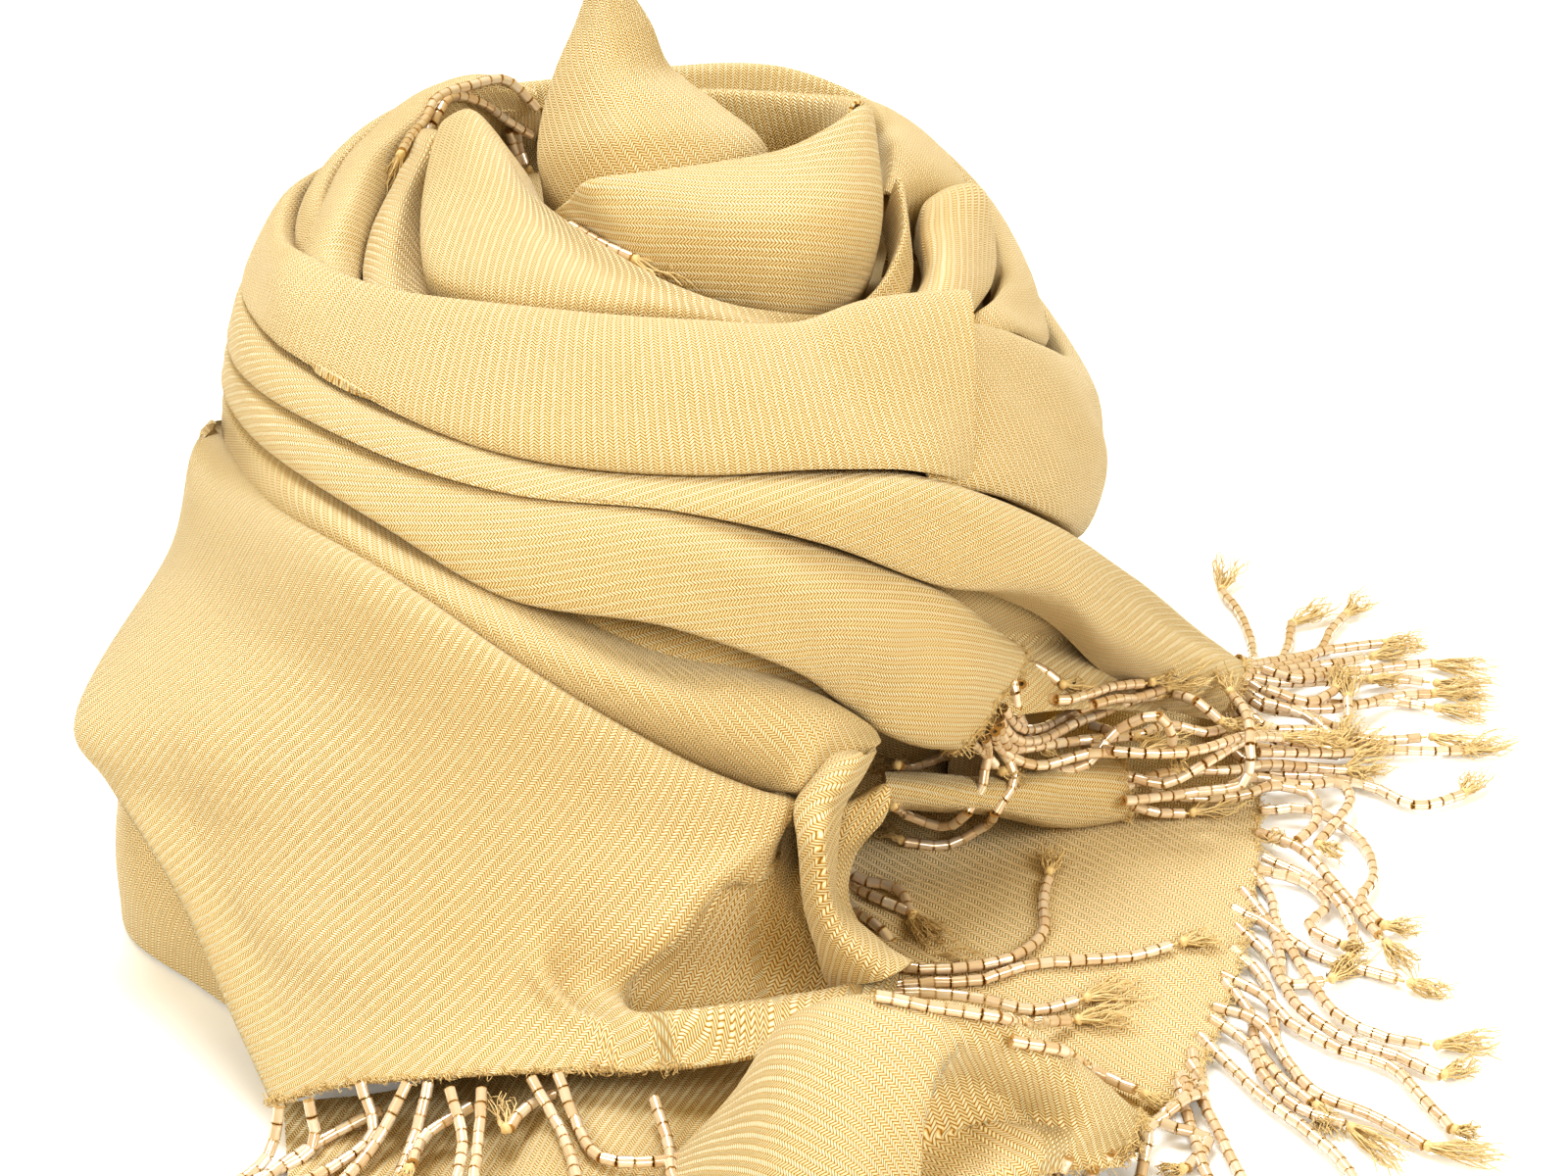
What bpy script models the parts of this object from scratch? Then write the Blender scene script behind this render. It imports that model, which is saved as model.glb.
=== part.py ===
"""Fringed shawl, wound into a rose-shaped heap with its ends spread on the table.

The tables hold millimetres and degrees; the meshes are built in metres, +Z up.
The origin is the middle of the heap's flat underside. A turn of 0 degrees faces -Y,
and positive turns go round towards +X.

Each stretch of cloth is a wall: a table gives a row for every section across the
stretch, a smooth curve runs through each row and through the rows, and the outer
surface that this gives is thickened inwards and closed at its rim.
"""

import math
import random
from collections import namedtuple

import bpy
import numpy as np

# Driving dimensions
MM = 0.001
CLOTH = 1.4  # wall of the folded cloth
STRAND = 2.3  # across a beaded string
STRAND_TIP = 1.0  # across the frayed end of its tuft
KNOT = 3.4  # across the knot between string and tuft
TUFT_SHARE = 0.2  # of a string's length that is frayed thread
STRIP = 1.9  # side of the narrow strip that joins the strings of one fringe
REST = 2.0  # height of a string's middle where it lies on the table
FOLD_IN = 7.0  # how far a folded edge turns in under its band
ROLL_IN = 3.0  # the same for the steep rolled edges of the upper rings
ROLL_DOWN = 5.5
CORE_SIDES = 36  # points in each level ring of the hidden layers
STRING_STEPS = 7  # straight pieces in a beaded string

# Colours
GOLD = (0.86, 0.68, 0.38)
GOLD_DEEP = (0.80, 0.60, 0.30)
BEAD = (0.88, 0.76, 0.60)


def table(columns, *rows):
    """Names the columns of a table and returns its rows."""
    row_type = namedtuple("Row", columns)
    return [row_type(*row) for row in rows]


# Heap: hidden layers, one row for each direction, radius at each height
CORE_HEIGHTS = (0.0, 3.0, 20.0, 40.0, 60.0, 80.0, 96.0, 106.0, 112.0)
CORE = table(
    "turn foot base low waist middle high shoulder brow top",
    (-180, 84, 86, 86, 83, 81, 79, 76, 66, 60),
    (-150, 84, 86, 87, 83, 81, 79, 76, 66, 60),
    (-120, 88, 90, 90, 87, 82, 80, 77, 66, 60),
    (-92, 96, 99, 97, 92, 87, 82, 78, 66, 60),
    (-65, 112, 115, 114, 106, 90, 86, 80, 66, 60),
    (-46, 138, 141, 138, 125, 102, 88, 81, 66, 60),
    (-30, 147, 150, 146, 130, 110, 92, 83, 66, 60),
    (-14, 140, 143, 141, 126, 102, 90, 83, 66, 60),
    (2, 125, 128, 124, 108, 89, 87, 82, 66, 60),
    (16, 86, 88, 86, 86, 85, 84, 81, 66, 60),
    (40, 82, 84, 84, 84, 83, 82, 77, 66, 60),
    (70, 80, 82, 82, 81, 80, 78, 71, 66, 60),
    (100, 80, 82, 82, 81, 80, 76, 70, 66, 60),
    (140, 82, 84, 84, 82, 81, 78, 73, 66, 60),
)

# Wide band across the front, from the left back to the seam
WIDE_BAND = table(
    "turn top_r top_z crown_r crown_z low_r low_z",
    (-112, 81.0, 121.0, 88.5, 112.0, 89.0, 104.4),
    (-95, 82.0, 122.0, 89.5, 114.0, 90.5, 107.2),
    (-76, 82.0, 120.8, 91.0, 115.0, 92.0, 109.4),
    (-60, 79.0, 123.0, 91.0, 116.5, 93.5, 110.6),
    (-40, 75.5, 125.0, 88.5, 116.5, 94.5, 108.8),
    (-16, 71.0, 125.5, 87.5, 115.0, 95.0, 103.8),
    (5, 72.0, 124.5, 87.5, 114.0, 95.0, 102.0),
    (22, 73.0, 122.0, 88.5, 112.0, 96.0, 100.0),
    (34, 75.5, 121.5, 90.0, 108.0, 97.5, 95.5),
    (42.6, 79.5, 118.5, 91.5, 104.0, 98.3, 87.5),
)

# Its other stretch, from the seam round the right side and the back
RIGHT_BAND = table(
    "turn top_r top_z crown_r crown_z low_r low_z",
    (43.0, 79.5, 117.5, 91.3, 103.0, 98.3, 86.8),
    (55, 81.5, 111.0, 94.0, 93.0, 99.5, 74.0),
    (67, 85.5, 103.0, 97.0, 82.0, 98.0, 60.0),
    (80, 86.5, 93.0, 98.0, 73.0, 96.0, 51.0),
    (95, 86.0, 88.0, 97.8, 69.5, 96.0, 49.0),
    (115, 84.5, 94.0, 94.5, 76.0, 93.5, 58.0),
    (140, 83.5, 107.0, 92.5, 91.0, 91.5, 74.0),
    (165, 83.0, 114.0, 91.0, 101.5, 89.5, 87.0),
    (190, 82.0, 118.0, 89.5, 107.0, 89.0, 94.0),
    (220, 81.5, 120.0, 89.0, 110.0, 89.0, 101.0),
    (247.6, 81.0, 121.0, 88.5, 112.0, 89.0, 104.4),
)

# The three bands below it: each comes round from the right back to the front,
# and the first two run out into a tail
UPPER_TURNS = table(
    "turn top_r top_z crown_r crown_z low_r low_z",
    (-255, 92.5, 50.3, 96.5, 43.0, 94.5, 36.0),
    (-240, 91.5, 58.8, 96.0, 50.0, 94.0, 41.5),
    (-215, 89.5, 75.2, 94.0, 65.0, 92.5, 54.0),
    (-190, 88.0, 86.8, 93.0, 77.0, 91.0, 66.5),
    (-165, 87.5, 93.6, 92.5, 84.0, 91.0, 74.5),
    (-140, 88.0, 99.6, 92.5, 91.0, 91.5, 82.5),
    (-112, 89.0, 103.4, 94.0, 97.0, 93.0, 91.0),
    (-90, 91.0, 107.2, 95.0, 101.5, 95.0, 96.0),
    (-63, 94.0, 109.6, 98.0, 106.0, 98.5, 102.2),
    (-41, 95.5, 107.8, 100.5, 105.5, 101.3, 103.4),
    (-27, 95.8, 105.4, 101.0, 103.3, 102.3, 101.3),
    (-15, 95.8, 102.9, 101.3, 101.0, 102.4, 99.3),
    (3, 95.8, 101.2, 101.0, 99.5, 102.4, 97.3),
    (19, 97.0, 99.2, 102.5, 95.0, 103.3, 88.5),
    (33, 99.3, 94.4, 104.3, 85.5, 104.8, 74.4),
)
UPPER_TAIL = table(
    "behind top crown low under",
    ((71, -63, 78), (77, -68, 80), (78, -75, 75), (78, -77, 68), (76, -67, 58)),
    ((93, -36, 48), (99, -42, 53), (97, -55, 55), (95, -62, 49), (92, -54, 37)),
    ((110, -16, 24), (117, -22, 29), (114, -35, 34), (112, -43, 31), (108, -40, 20)),
    ((124, -2, 8), (130, -8, 13), (129, -17, 17), (127, -25, 16), (123, -27, 9)),
)
MIDDLE_TURNS = table(
    "turn top_r top_z crown_r crown_z low_r low_z",
    (-255, 93.0, 33.6, 97.0, 25.0, 96.0, 17.5),
    (-240, 92.5, 40.5, 97.0, 31.0, 96.0, 21.5),
    (-215, 91.0, 52.5, 96.0, 41.0, 95.0, 28.5),
    (-190, 89.8, 64.9, 95.5, 50.5, 94.5, 35.5),
    (-165, 89.8, 72.9, 95.0, 60.0, 93.5, 46.0),
    (-140, 90.0, 81.2, 95.0, 70.5, 94.0, 59.5),
    (-112, 92.0, 90.0, 96.0, 82.0, 95.5, 74.0),
    (-90, 93.8, 95.0, 96.5, 89.5, 96.3, 84.0),
    (-64, 97.3, 101.1, 100.0, 97.0, 99.5, 92.0),
    (-42, 100.3, 102.4, 106.3, 98.8, 106.3, 94.6),
    (-28, 101.3, 100.3, 108.0, 96.0, 110.0, 90.8),
    (-15, 101.4, 98.3, 109.5, 91.5, 113.0, 82.6),
    (2, 101.4, 96.3, 109.5, 89.0, 113.5, 78.3),
    (14, 102.0, 89.8, 110.3, 83.0, 112.5, 70.5),
    (25, 103.0, 80.8, 110.5, 71.5, 112.0, 56.5),
)
MIDDLE_TAIL = table(
    "behind top crown low under",
    ((53.5, -82, 71), (58.5, -86, 70.6), (52, -98, 65), (44, -103, 53), (39, -97, 50)),
    ((63, -74, 59), (68.5, -79, 59), (63, -92, 56), (54, -99, 47), (49, -94, 44)),
    ((70, -67, 50), (75, -71, 50), (69, -84, 46), (61, -95, 42), (56, -90, 39)),
)
ROLLED_BAND = table(
    "turn top_r top_z crown_r crown_z low_r low_z",
    (-255, 94.5, 17.0, 99.0, 9.0, 98.0, 2.0),
    (-240, 94.5, 20.5, 99.5, 11.0, 98.5, 2.0),
    (-215, 93.5, 27.5, 99.5, 15.0, 98.5, 2.0),
    (-190, 93.0, 34.5, 99.0, 18.5, 98.5, 2.0),
    (-165, 92.2, 45.0, 98.5, 25.0, 98.0, 4.0),
    (-140, 92.5, 58.5, 98.5, 41.0, 97.0, 24.0),
    (-112, 94.0, 73.0, 98.0, 62.0, 97.0, 51.0),
    (-90, 94.8, 83.0, 98.0, 77.0, 97.5, 70.0),
    (-66, 98.5, 90.6, 100.5, 85.5, 100.0, 80.0),
    (-42, 105.0, 93.6, 110.0, 91.2, 111.3, 88.6),
    (-30, 108.7, 90.4, 115.0, 88.5, 116.5, 86.2),
    (-20, 112.0, 85.2, 118.5, 82.7, 120.6, 79.6),
    (-11, 114.0, 78.8, 120.8, 75.5, 123.3, 71.0),
    (0, 115.0, 70.5, 122.0, 67.0, 125.5, 60.0),
    (10, 115.0, 65.5, 122.5, 58.5, 126.5, 48.5),
    (17, 114.8, 60.5, 121.5, 54.5, 124.5, 43.5),
    (21, 114.5, 55.0, 119.5, 50.0, 121.5, 41.5),
)
INNER_FOLD = table(
    "behind top low under",
    ((-24, -97, 78), (-22, -103, 80), (-22, -107, 73), (-20, -104, 66)),
    ((-6, -96, 75), (-5, -102, 76.5), (-4, -109, 68), (-4, -105, 60)),
    ((12, -94, 72), (13, -100, 73), (16, -108, 63), (15, -103, 55)),
    ((28, -90, 62), (30, -95, 62.5), (32, -104, 55), (30, -99, 47)),
    ((39, -85, 51), (41, -90, 51), (40, -99, 47), (37, -94, 41)),
)

# Front flap: from the rolled band's groove down to the hem, left to right
FRONT_FLAP = table(
    "top brow cheek waist skirt knee hem",
    ((-98, -28, 83), (-105, -48, 66), (-112, -79, 45), (-104, -98, 34),
     (-86, -125, 24), (-75, -146, 10), (-69, -162, 5)),
    ((-97, -41, 86), (-107, -62, 70), (-118, -92, 46), (-110, -105, 39),
     (-91, -132, 28), (-79, -152, 14), (-71, -168, 7)),
    ((-77.3, -81, 87), (-84, -95, 69), (-94, -112, 52), (-86, -124, 39),
     (-77, -138, 25), (-68, -153, 15), (-59, -168, 10)),
    ((-54, -105.6, 83), (-60, -114, 66), (-65, -126, 51), (-62, -135, 39),
     (-57, -145, 28), (-49, -156, 18), (-41, -168, 12)),
    ((-30.4, -118.8, 73.8), (-35, -127, 58), (-38, -136, 44), (-37, -143, 35),
     (-34, -150, 26), (-27, -158, 19), (-19, -168, 14)),
    ((-6.6, -125.2, 62.3), (-10, -134, 49), (-14, -142, 39), (-15, -147, 31),
     (-15, -153, 23), (-8, -160, 19), (-4, -168, 14)),
    ((11.7, -126.2, 52.6), (10, -137, 43), (6, -144, 36), (5, -148, 30),
     (3, -148, 18), (7, -158, 19), (9, -168, 15)),
    ((27.2, -123, 45.6), (27, -129, 41), (23, -138, 38), (21, -139, 31),
     (21, -140, 16), (23, -152, 17), (23, -164, 16)),
    ((37.7, -118.4, 42.2), (36.5, -123.5, 36), (34, -128, 30), (35, -130, 25),
     (40, -134, 17), (42, -144, 17), (38, -158, 18)),
    ((41, -115.8, 40.6), (39.5, -121, 34), (37, -125, 28), (38, -127, 23),
     (43, -131, 15), (45, -141, 15), (41, -154, 16)),
)
LEFT_UNDERLAYER = table(
    "top crown low hem",
    ((-52, 78, 14), (-54, 84, 10), (-55, 87, 6), (-56, 89, 1)),
    ((-76, 60, 24), (-82, 64, 16), (-84, 66, 8), (-86, 68, 1)),
    ((-94, 30, 46), (-102, 33, 32), (-105, 35, 14), (-107, 36, 1)),
    ((-98, 0, 64), (-108, -2, 44), (-112, -3, 20), (-115, -4, 1)),
    ((-95, -24, 74), (-107, -34, 46), (-115, -42, 20), (-118, -45, 1)),
    ((-95, -48, 66), (-106, -72, 40), (-114, -78, 20), (-116, -81, 1)),
    ((-90, -72, 58), (-103, -96, 32), (-110, -99, 16), (-110, -102, 1)),
    ((-80, -94, 50), (-89, -112, 26), (-93, -117, 12), (-91, -121, 1)),
    ((-66, -112, 40), (-74, -128, 20), (-78, -134, 9), (-76, -138, 1)),
)
RIGHT_UNDERLAYER = table(
    "turn top_r top_z crown_r crown_z low_r low_z",
    (44, 86.3, 60, 87.3, 30, 88.0, 1.2),
    (58, 85.8, 52, 86.8, 28, 88.0, 1.2),
    (75, 85.2, 45, 86.2, 24, 87.0, 1.2),
    (92, 84.4, 44, 84.9, 24, 85.4, 1.2),
    (107, 83.9, 44, 84.0, 24, 84.0, 1.2),
)

# Sheets that lie low on the table
FLOOR_LAYER = table(
    "back middle front",
    ((32, -85, 12), (32, -115, 9), (38, -148, 5)),
    ((60, -67, 8), (58, -112, 8.5), (56, -160, 3.5)),
    ((87, -56, 6.5), (86, -108, 7), (76, -165, 2.6)),
    ((115, -55, 4.0), (110, -106, 4.5), (94, -166, 2.4)),
    ((129, -57, 2.6), (119, -108, 2.6), (103, -159, 2.4)),
)
SMALL_ROLL = table(
    "behind top crown low under",
    ((45, -86, 31), (48, -91, 34), (50, -96, 33), (50, -99, 27), (46, -96, 14)),
    ((70, -72, 24), (74, -77, 28), (75, -83, 25), (72, -86, 18), (67, -83, 9.6)),
    ((92, -57, 15.6), (96, -62, 19.6), (99, -67, 16.6), (97, -71, 11), (92, -68, 7.0)),
)
UNDER_HEM_LAYER = table(
    "back middle front",
    ((-31, -147, 2.0), (-28, -176, 2.0), (-26, -214, 2.0)),
    ((-18, -145, 7.0), (-16, -174, 7.4), (-14, -216, 4.0)),
    ((-6, -144.5, 7.4), (-6, -174, 7.7), (-7, -214, 4.0)),
    ((7, -144.5, 7.4), (4.4, -167, 6.5), (-2.0, -198, 3.0)),
)
FOREGROUND_FLAP = table(
    "heel back crest brow cheek toe",
    ((3, -178, 1.6), (3, -181, 2.2), (1, -187, 4), (0, -200, 4), (-1, -213, 3), (-1, -224, 1.6)),
    ((17, -171, 1.6), (16, -176, 12), (15, -184, 20), (14, -199, 19), (13, -214, 12), (12, -226, 1.6)),
    ((26, -170, 1.6), (26, -174, 20), (25, -182, 35), (25, -200, 34), (25, -216, 22), (25, -229, 1.6)),
    ((36, -170, 1.6), (36, -173, 22), (36, -182, 40), (36, -202, 38), (37, -219, 24), (38, -231, 1.6)),
    ((49, -170, 1.6), (49, -173, 22), (49, -183, 40), (47, -203, 35), (46, -216, 20), (47, -228, 2.2)),
    ((61, -171, 1.6), (61, -174, 20), (60, -184, 39), (56, -202, 28), (55, -209, 18), (55, -218, 10)),
    ((74, -172, 1.6), (73, -175, 16), (72, -184, 32), (67, -198, 26), (64, -203, 20), (62, -208, 15)),
    ((84, -174, 1.6), (83, -177, 12), (81, -184, 24), (77, -194, 21), (74, -198, 18), (72, -201, 15)),
    ((91, -177, 2.2), (91, -179, 7), (90, -183, 14), (88, -188, 13.5), (87, -190, 12), (86, -192, 10)),
)

# Upper rings and petals of the rose
OUTER_RING = table(
    "turn top_r top_z crown_r crown_z low_r low_z",
    (62, 75.5, 113.5, 79.5, 111.0, 80.5, 107.5),
    (72, 74.5, 112.0, 80.5, 106.5, 82.5, 100.6),
    (82, 73.5, 111.0, 80.5, 104.0, 83.0, 94.6),
    (95, 72.5, 112.5, 80.0, 104.0, 83.0, 93.2),
    (115, 72.5, 118.0, 79.5, 109.0, 82.0, 97.4),
    (140, 73.5, 126.0, 79.5, 119.0, 81.0, 109.4),
    (160, 73.5, 131.0, 79.0, 124.5, 80.5, 115.2),
    (185, 69.0, 130.5, 77.0, 126.5, 79.5, 119.4),
    (210, 70.5, 129.5, 76.5, 126.5, 79.0, 121.4),
    (232, 73.0, 131.5, 77.5, 127.5, 79.0, 122.4),
    (255, 73.5, 128.5, 77.5, 126.5, 79.0, 123.0),
    (275, 76.0, 126.0, 79.0, 125.2, 80.0, 123.6),
    (286, 76.5, 125.4, 78.5, 124.9, 79.0, 123.6),
)
INNER_RING = table(
    "turn top_r top_z crown_r crown_z low_r low_z foot_r foot_z",
    (68, 49.5, 132.0, 52.0, 130.0, 52.0, 124.0, 50.0, 112.4),
    (76, 49.0, 133.5, 53.0, 131.0, 53.5, 125.0, 51.5, 112.4),
    (88, 48.5, 136.0, 56.5, 131.5, 61.0, 124.5, 59.0, 112.4),
    (100, 48.5, 136.5, 59.5, 130.0, 66.5, 121.5, 60.5, 112.4),
    (115, 50.5, 136.5, 59.5, 132.0, 66.5, 124.5, 60.5, 112.4),
    (135, 56.0, 133.0, 61.5, 130.0, 65.0, 125.0, 60.5, 112.4),
    (155, 53.0, 131.5, 57.5, 129.5, 60.5, 125.0, 60.0, 112.4),
    (176, 48.0, 132.0, 52.5, 130.0, 55.5, 125.0, 55.0, 112.4),
)
LEFT_FOLD_OUTER = table(
    "turn foot_r foot_z outer_r outer_z crown_r crown_z inner_r inner_z heel_r heel_z",
    (-58, 73.0, 116.0, 74.2, 120.5, 71.0, 125.0, 67.8, 121.0, 67.5, 115.0),
    (-67, 72.0, 116.0, 73.2, 124.0, 69.5, 129.0, 65.5, 125.0, 66.0, 114.0),
    (-80, 70.0, 116.0, 71.2, 127.0, 66.5, 131.5, 62.0, 127.0, 63.0, 112.4),
    (-95, 68.0, 116.0, 68.8, 129.0, 63.5, 133.5, 58.8, 129.0, 60.0, 112.4),
    (-115, 66.0, 116.0, 67.0, 131.0, 62.0, 135.0, 57.0, 131.0, 58.0, 112.4),
    (-135, 65.0, 116.0, 66.0, 130.5, 61.0, 134.5, 56.0, 130.5, 57.0, 112.4),
    (-158, 62.0, 116.0, 63.0, 129.0, 58.0, 133.0, 53.5, 129.0, 54.0, 112.4),
    (-176, 60.5, 116.0, 61.5, 127.0, 59.0, 130.5, 57.5, 127.0, 58.5, 112.4),
)
LEFT_FOLD_INNER = table(
    "turn foot_r foot_z outer_r outer_z crown_r crown_z inner_r inner_z heel_r heel_z",
    (-49, 69.0, 115.0, 70.3, 120.5, 68.6, 124.0, 66.8, 120.5, 65.5, 112.6),
    (-57, 64.5, 115.0, 65.8, 123.5, 63.5, 127.5, 61.0, 123.5, 61.8, 112.4),
    (-68, 61.5, 115.0, 62.6, 127.0, 60.2, 130.8, 57.6, 127.0, 58.4, 112.4),
    (-82, 59.0, 115.0, 59.6, 128.5, 57.2, 132.0, 54.6, 128.5, 55.4, 112.4),
    (-98, 55.5, 115.0, 56.2, 129.0, 54.0, 132.5, 51.6, 129.0, 52.4, 112.4),
)
RING_FOLD = table(
    "under left crown right foot",
    ((53, -14, 119), (54, -17, 124), (57, -12, 125), (64, -1, 118), (60, -2, 112.4)),
    ((53, -18, 119), (54.5, -20, 129), (57, -16, 129.5), (66.5, -3, 121), (62, -4, 112.4)),
    ((54, -24, 118), (54.5, -27, 126), (58, -25, 126.5), (69, -9, 115), (65, -10, 112.4)),
    ((54, -33, 116), (55.5, -36, 121), (58, -35, 123), (68.5, -20, 112.5), (65, -20, 112.5)),
    ((50, -44, 114), (52.5, -45.5, 118), (56, -46, 119.5), (64, -34, 112.4), (61, -33, 112.4)),
    ((45, -51, 112.4), (47.5, -53, 116.5), (53, -54, 117.5), (58, -49, 112.4), (56, -46, 112.4)),
)
LEFT_PETAL = table(
    "behind top middle low under",
    ((-41, 5, 131), (-44, 6, 138), (-47, -4, 134), (-48, -24, 126), (-45, -22, 112.4)),
    ((-44, 1, 135), (-47, 0, 141.5), (-50, -22, 134), (-48, -48, 124.5), (-45, -44, 112.4)),
    ((-38, -5, 140), (-41, -8, 146.5), (-42, -30, 135.5), (-38, -56.5, 124), (-35, -52, 112.4)),
    ((-30, -13, 135), (-34, -15, 141.5), (-30, -42, 134), (-25, -62, 123.5), (-23, -57.5, 112.4)),
    ((-23, -29, 130), (-27, -30, 136.5), (-16, -53, 130), (-10, -65.2, 123.5), (-9, -61, 112.4)),
    ((-12, -44, 127), (-15, -46, 132.5), (-4, -60, 128), (4, -66.5, 122.5), (3.5, -62, 112.4)),
    ((2, -55, 121), (1, -58, 126.5), (9, -63.5, 125), (17, -65.5, 119.5), (15.5, -61.5, 112.4)),
    ((20, -55.5, 117), (19, -58.5, 121.5), (25, -61, 119.5), (30, -61, 116.5), (28, -58, 112.4)),
    ((36, -49.5, 115), (37, -52.5, 119), (40, -54, 117.5), (41, -54, 115.5), (39, -52, 112.4)),
    ((43, -41, 117), (45, -44, 122.5), (48, -45, 120), (48.5, -45, 116.5), (46, -43, 112.4)),
    ((46.5, -33, 121), (49, -36, 129), (51, -36.5, 124), (51, -36.5, 117), (48.5, -35, 112.4)),
    ((45.5, -23, 126), (48, -26, 136.5), (50.5, -25.5, 130), (50.5, -25, 119), (48, -24, 112.4)),
)
FRONT_PETAL = table(
    "behind top middle low under",
    ((-17, -29, 126), (-19, -32, 134), (-19, -34, 133), (-17, -36, 129), (-15, -34, 112.4)),
    ((-13, -32, 133), (-15, -36, 140), (-13, -41, 138), (-8, -46.5, 130), (-7, -43, 112.4)),
    ((-2, -32, 136), (-3, -37, 143), (2, -48.5, 139), (3, -52, 127), (3, -48, 112.4)),
    ((11, -31, 138), (11, -36, 145), (14, -52, 139), (15, -54.5, 125), (14, -51, 112.4)),
    ((24, -28, 140), (25, -33, 147), (27, -52, 139), (27, -54, 121), (26, -50.5, 112.4)),
    ((32, -24, 143), (35, -28, 150), (38, -45, 138), (38, -47.5, 121), (36, -44, 112.4)),
    ((37, -18, 144), (41, -20, 151), (45, -33, 137), (43.5, -38.5, 122), (41, -36, 112.4)),
    ((38.5, -12, 141), (42.5, -12, 148), (44.5, -22, 134), (43.5, -28, 122), (41, -26, 112.4)),
    ((37, -7, 137), (40, -5, 144), (41.5, -12, 132), (41, -17, 120), (38.5, -16, 112.4)),
)
INNER_PETAL = table(
    "under low top behind",
    ((1, 13, 112.4), (0, 14, 130), (0, 18, 141.5), (1, 21, 136)),
    ((12, 17, 112.4), (12, 19, 128), (12, 24, 139.5), (13, 27, 134)),
    ((24, 18, 112.4), (24, 20, 127), (24, 25, 138.5), (26, 28, 133)),
    ((33, 13, 112.4), (34, 14, 128), (36, 17, 140), (39, 20, 134)),
    ((37, 3, 112.4), (38, 4, 130), (41, 5, 143), (44, 7, 137)),
)
TIP_PETAL = table(
    "back_left left front right back_right",
    ((-16, 10, 112.4), (-26, -14, 112.4), (-7, -29, 112.4), (22, -13, 112.4), (12, 8, 112.4)),
    ((-17, 8, 131), (-26, -16, 131), (-7, -31, 133), (24, -14, 133), (14, 6, 132)),
    ((-18, 7, 139), (-27, -13, 138), (-9, -27, 145), (20, -10, 141), (11, 6, 139)),
    ((-18, 6, 148), (-26, -9, 146), (-10, -21, 152), (11, -6, 147), (4, 6, 147)),
    ((-17, 5, 156), (-23, -6, 155), (-12, -14.5, 158.5), (1, -3, 154), (-3, 5, 155)),
    ((-15, 4, 164), (-19, -3, 163), (-12, -9, 165.5), (-3, -1, 163), (-7, 4, 163)),
    ((-13, 3, 171), (-16, -1, 171), (-12, -4.5, 172.5), (-8, 0, 171), (-10, 3, 171)),
)


def around(turn, radius, height):
    """The point at a turn, a radius from the heap's axis and a height."""
    angle = math.radians(turn)
    return (radius * math.sin(angle), -radius * math.cos(angle), height)


def band_sections(rows):
    """Sections of a band with both folded edges turned in level towards the axis."""
    sections = []
    for row in rows:
        sections.append((
            around(row.turn, row.top_r - FOLD_IN, row.top_z),
            around(row.turn, row.top_r, row.top_z),
            around(row.turn, row.crown_r, row.crown_z),
            around(row.turn, row.low_r, row.low_z),
            around(row.turn, row.low_r - FOLD_IN, row.low_z),
        ))
    return sections


def ring_sections(rows):
    """Sections of a band whose upper edge rolls over and down on its inner side."""
    sections = []
    for row in rows:
        sections.append((
            around(row.turn, row.top_r - ROLL_IN, row.top_z - ROLL_DOWN),
            around(row.turn, row.top_r, row.top_z),
            around(row.turn, row.crown_r, row.crown_z),
            around(row.turn, row.low_r, row.low_z),
            around(row.turn, row.low_r - FOLD_IN, row.low_z),
        ))
    return sections


def pair_sections(rows):
    """Sections of a ring whose columns after the turn are pairs of radius and height."""
    return [
        [around(row[0], row[i], row[i + 1]) for i in range(1, len(row), 2)]
        for row in rows
    ]


def inner_ring_sections(rows):
    """Sections of the inner ring, rolled in at its top and with a foot that stands on the core."""
    sections = pair_sections(rows)
    for row, section in zip(rows, sections):
        section.insert(0, around(row.turn, row.top_r - ROLL_IN, row.top_z - ROLL_DOWN))
    return sections


def through(points, steps):
    """Runs a smooth curve through the points along axis 0, with steps places in each span."""
    points = np.asarray(points, float)
    spans = np.linalg.norm(np.diff(points, axis=0), axis=-1).reshape(len(points) - 1, -1)
    knots = np.concatenate([[0.0], np.cumsum(spans.mean(axis=1))])
    slopes = np.gradient(points, knots, axis=0)
    places = np.interp(
        np.linspace(0, len(points) - 1, steps * (len(points) - 1) + 1),
        np.arange(len(points)), knots,
    )
    first = np.clip(np.searchsorted(knots, places, side="right") - 1, 0, len(points) - 2)
    span = knots[first + 1] - knots[first]
    t = (places - knots[first]) / span
    shape = (-1,) + (1,) * (points.ndim - 1)
    t, span = t.reshape(shape), span.reshape(shape)
    start, end = points[first], points[first + 1]
    out, into = slopes[first] * span, slopes[first + 1] * span
    return (
        (2 * t**3 - 3 * t**2 + 1) * start + (t**3 - 2 * t**2 + t) * out
        + (3 * t**2 - 2 * t**3) * end + (t**3 - t**2) * into
    )


def surface(sections, along, across):
    """Grid of points through the sections, with along and across places in each span."""
    grid = through(sections, along)
    return through(grid.transpose(1, 0, 2), across).transpose(1, 0, 2)


def normals(grid):
    """Unit normals of a grid, on the side that the sections' cloth faces."""
    normal = np.cross(np.gradient(grid, axis=1), np.gradient(grid, axis=0))
    return normal / np.linalg.norm(normal, axis=2, keepdims=True)


def make_material(name, colour, roughness):
    material = bpy.data.materials.new(name)
    material.use_nodes = True
    shader = material.node_tree.nodes["Principled BSDF"]
    shader.inputs["Base Color"].default_value = (*colour, 1.0)
    shader.inputs["Roughness"].default_value = roughness
    shader.inputs["Metallic"].default_value = 0.0
    material.diffuse_color = (*colour, 1.0)
    return material


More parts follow.
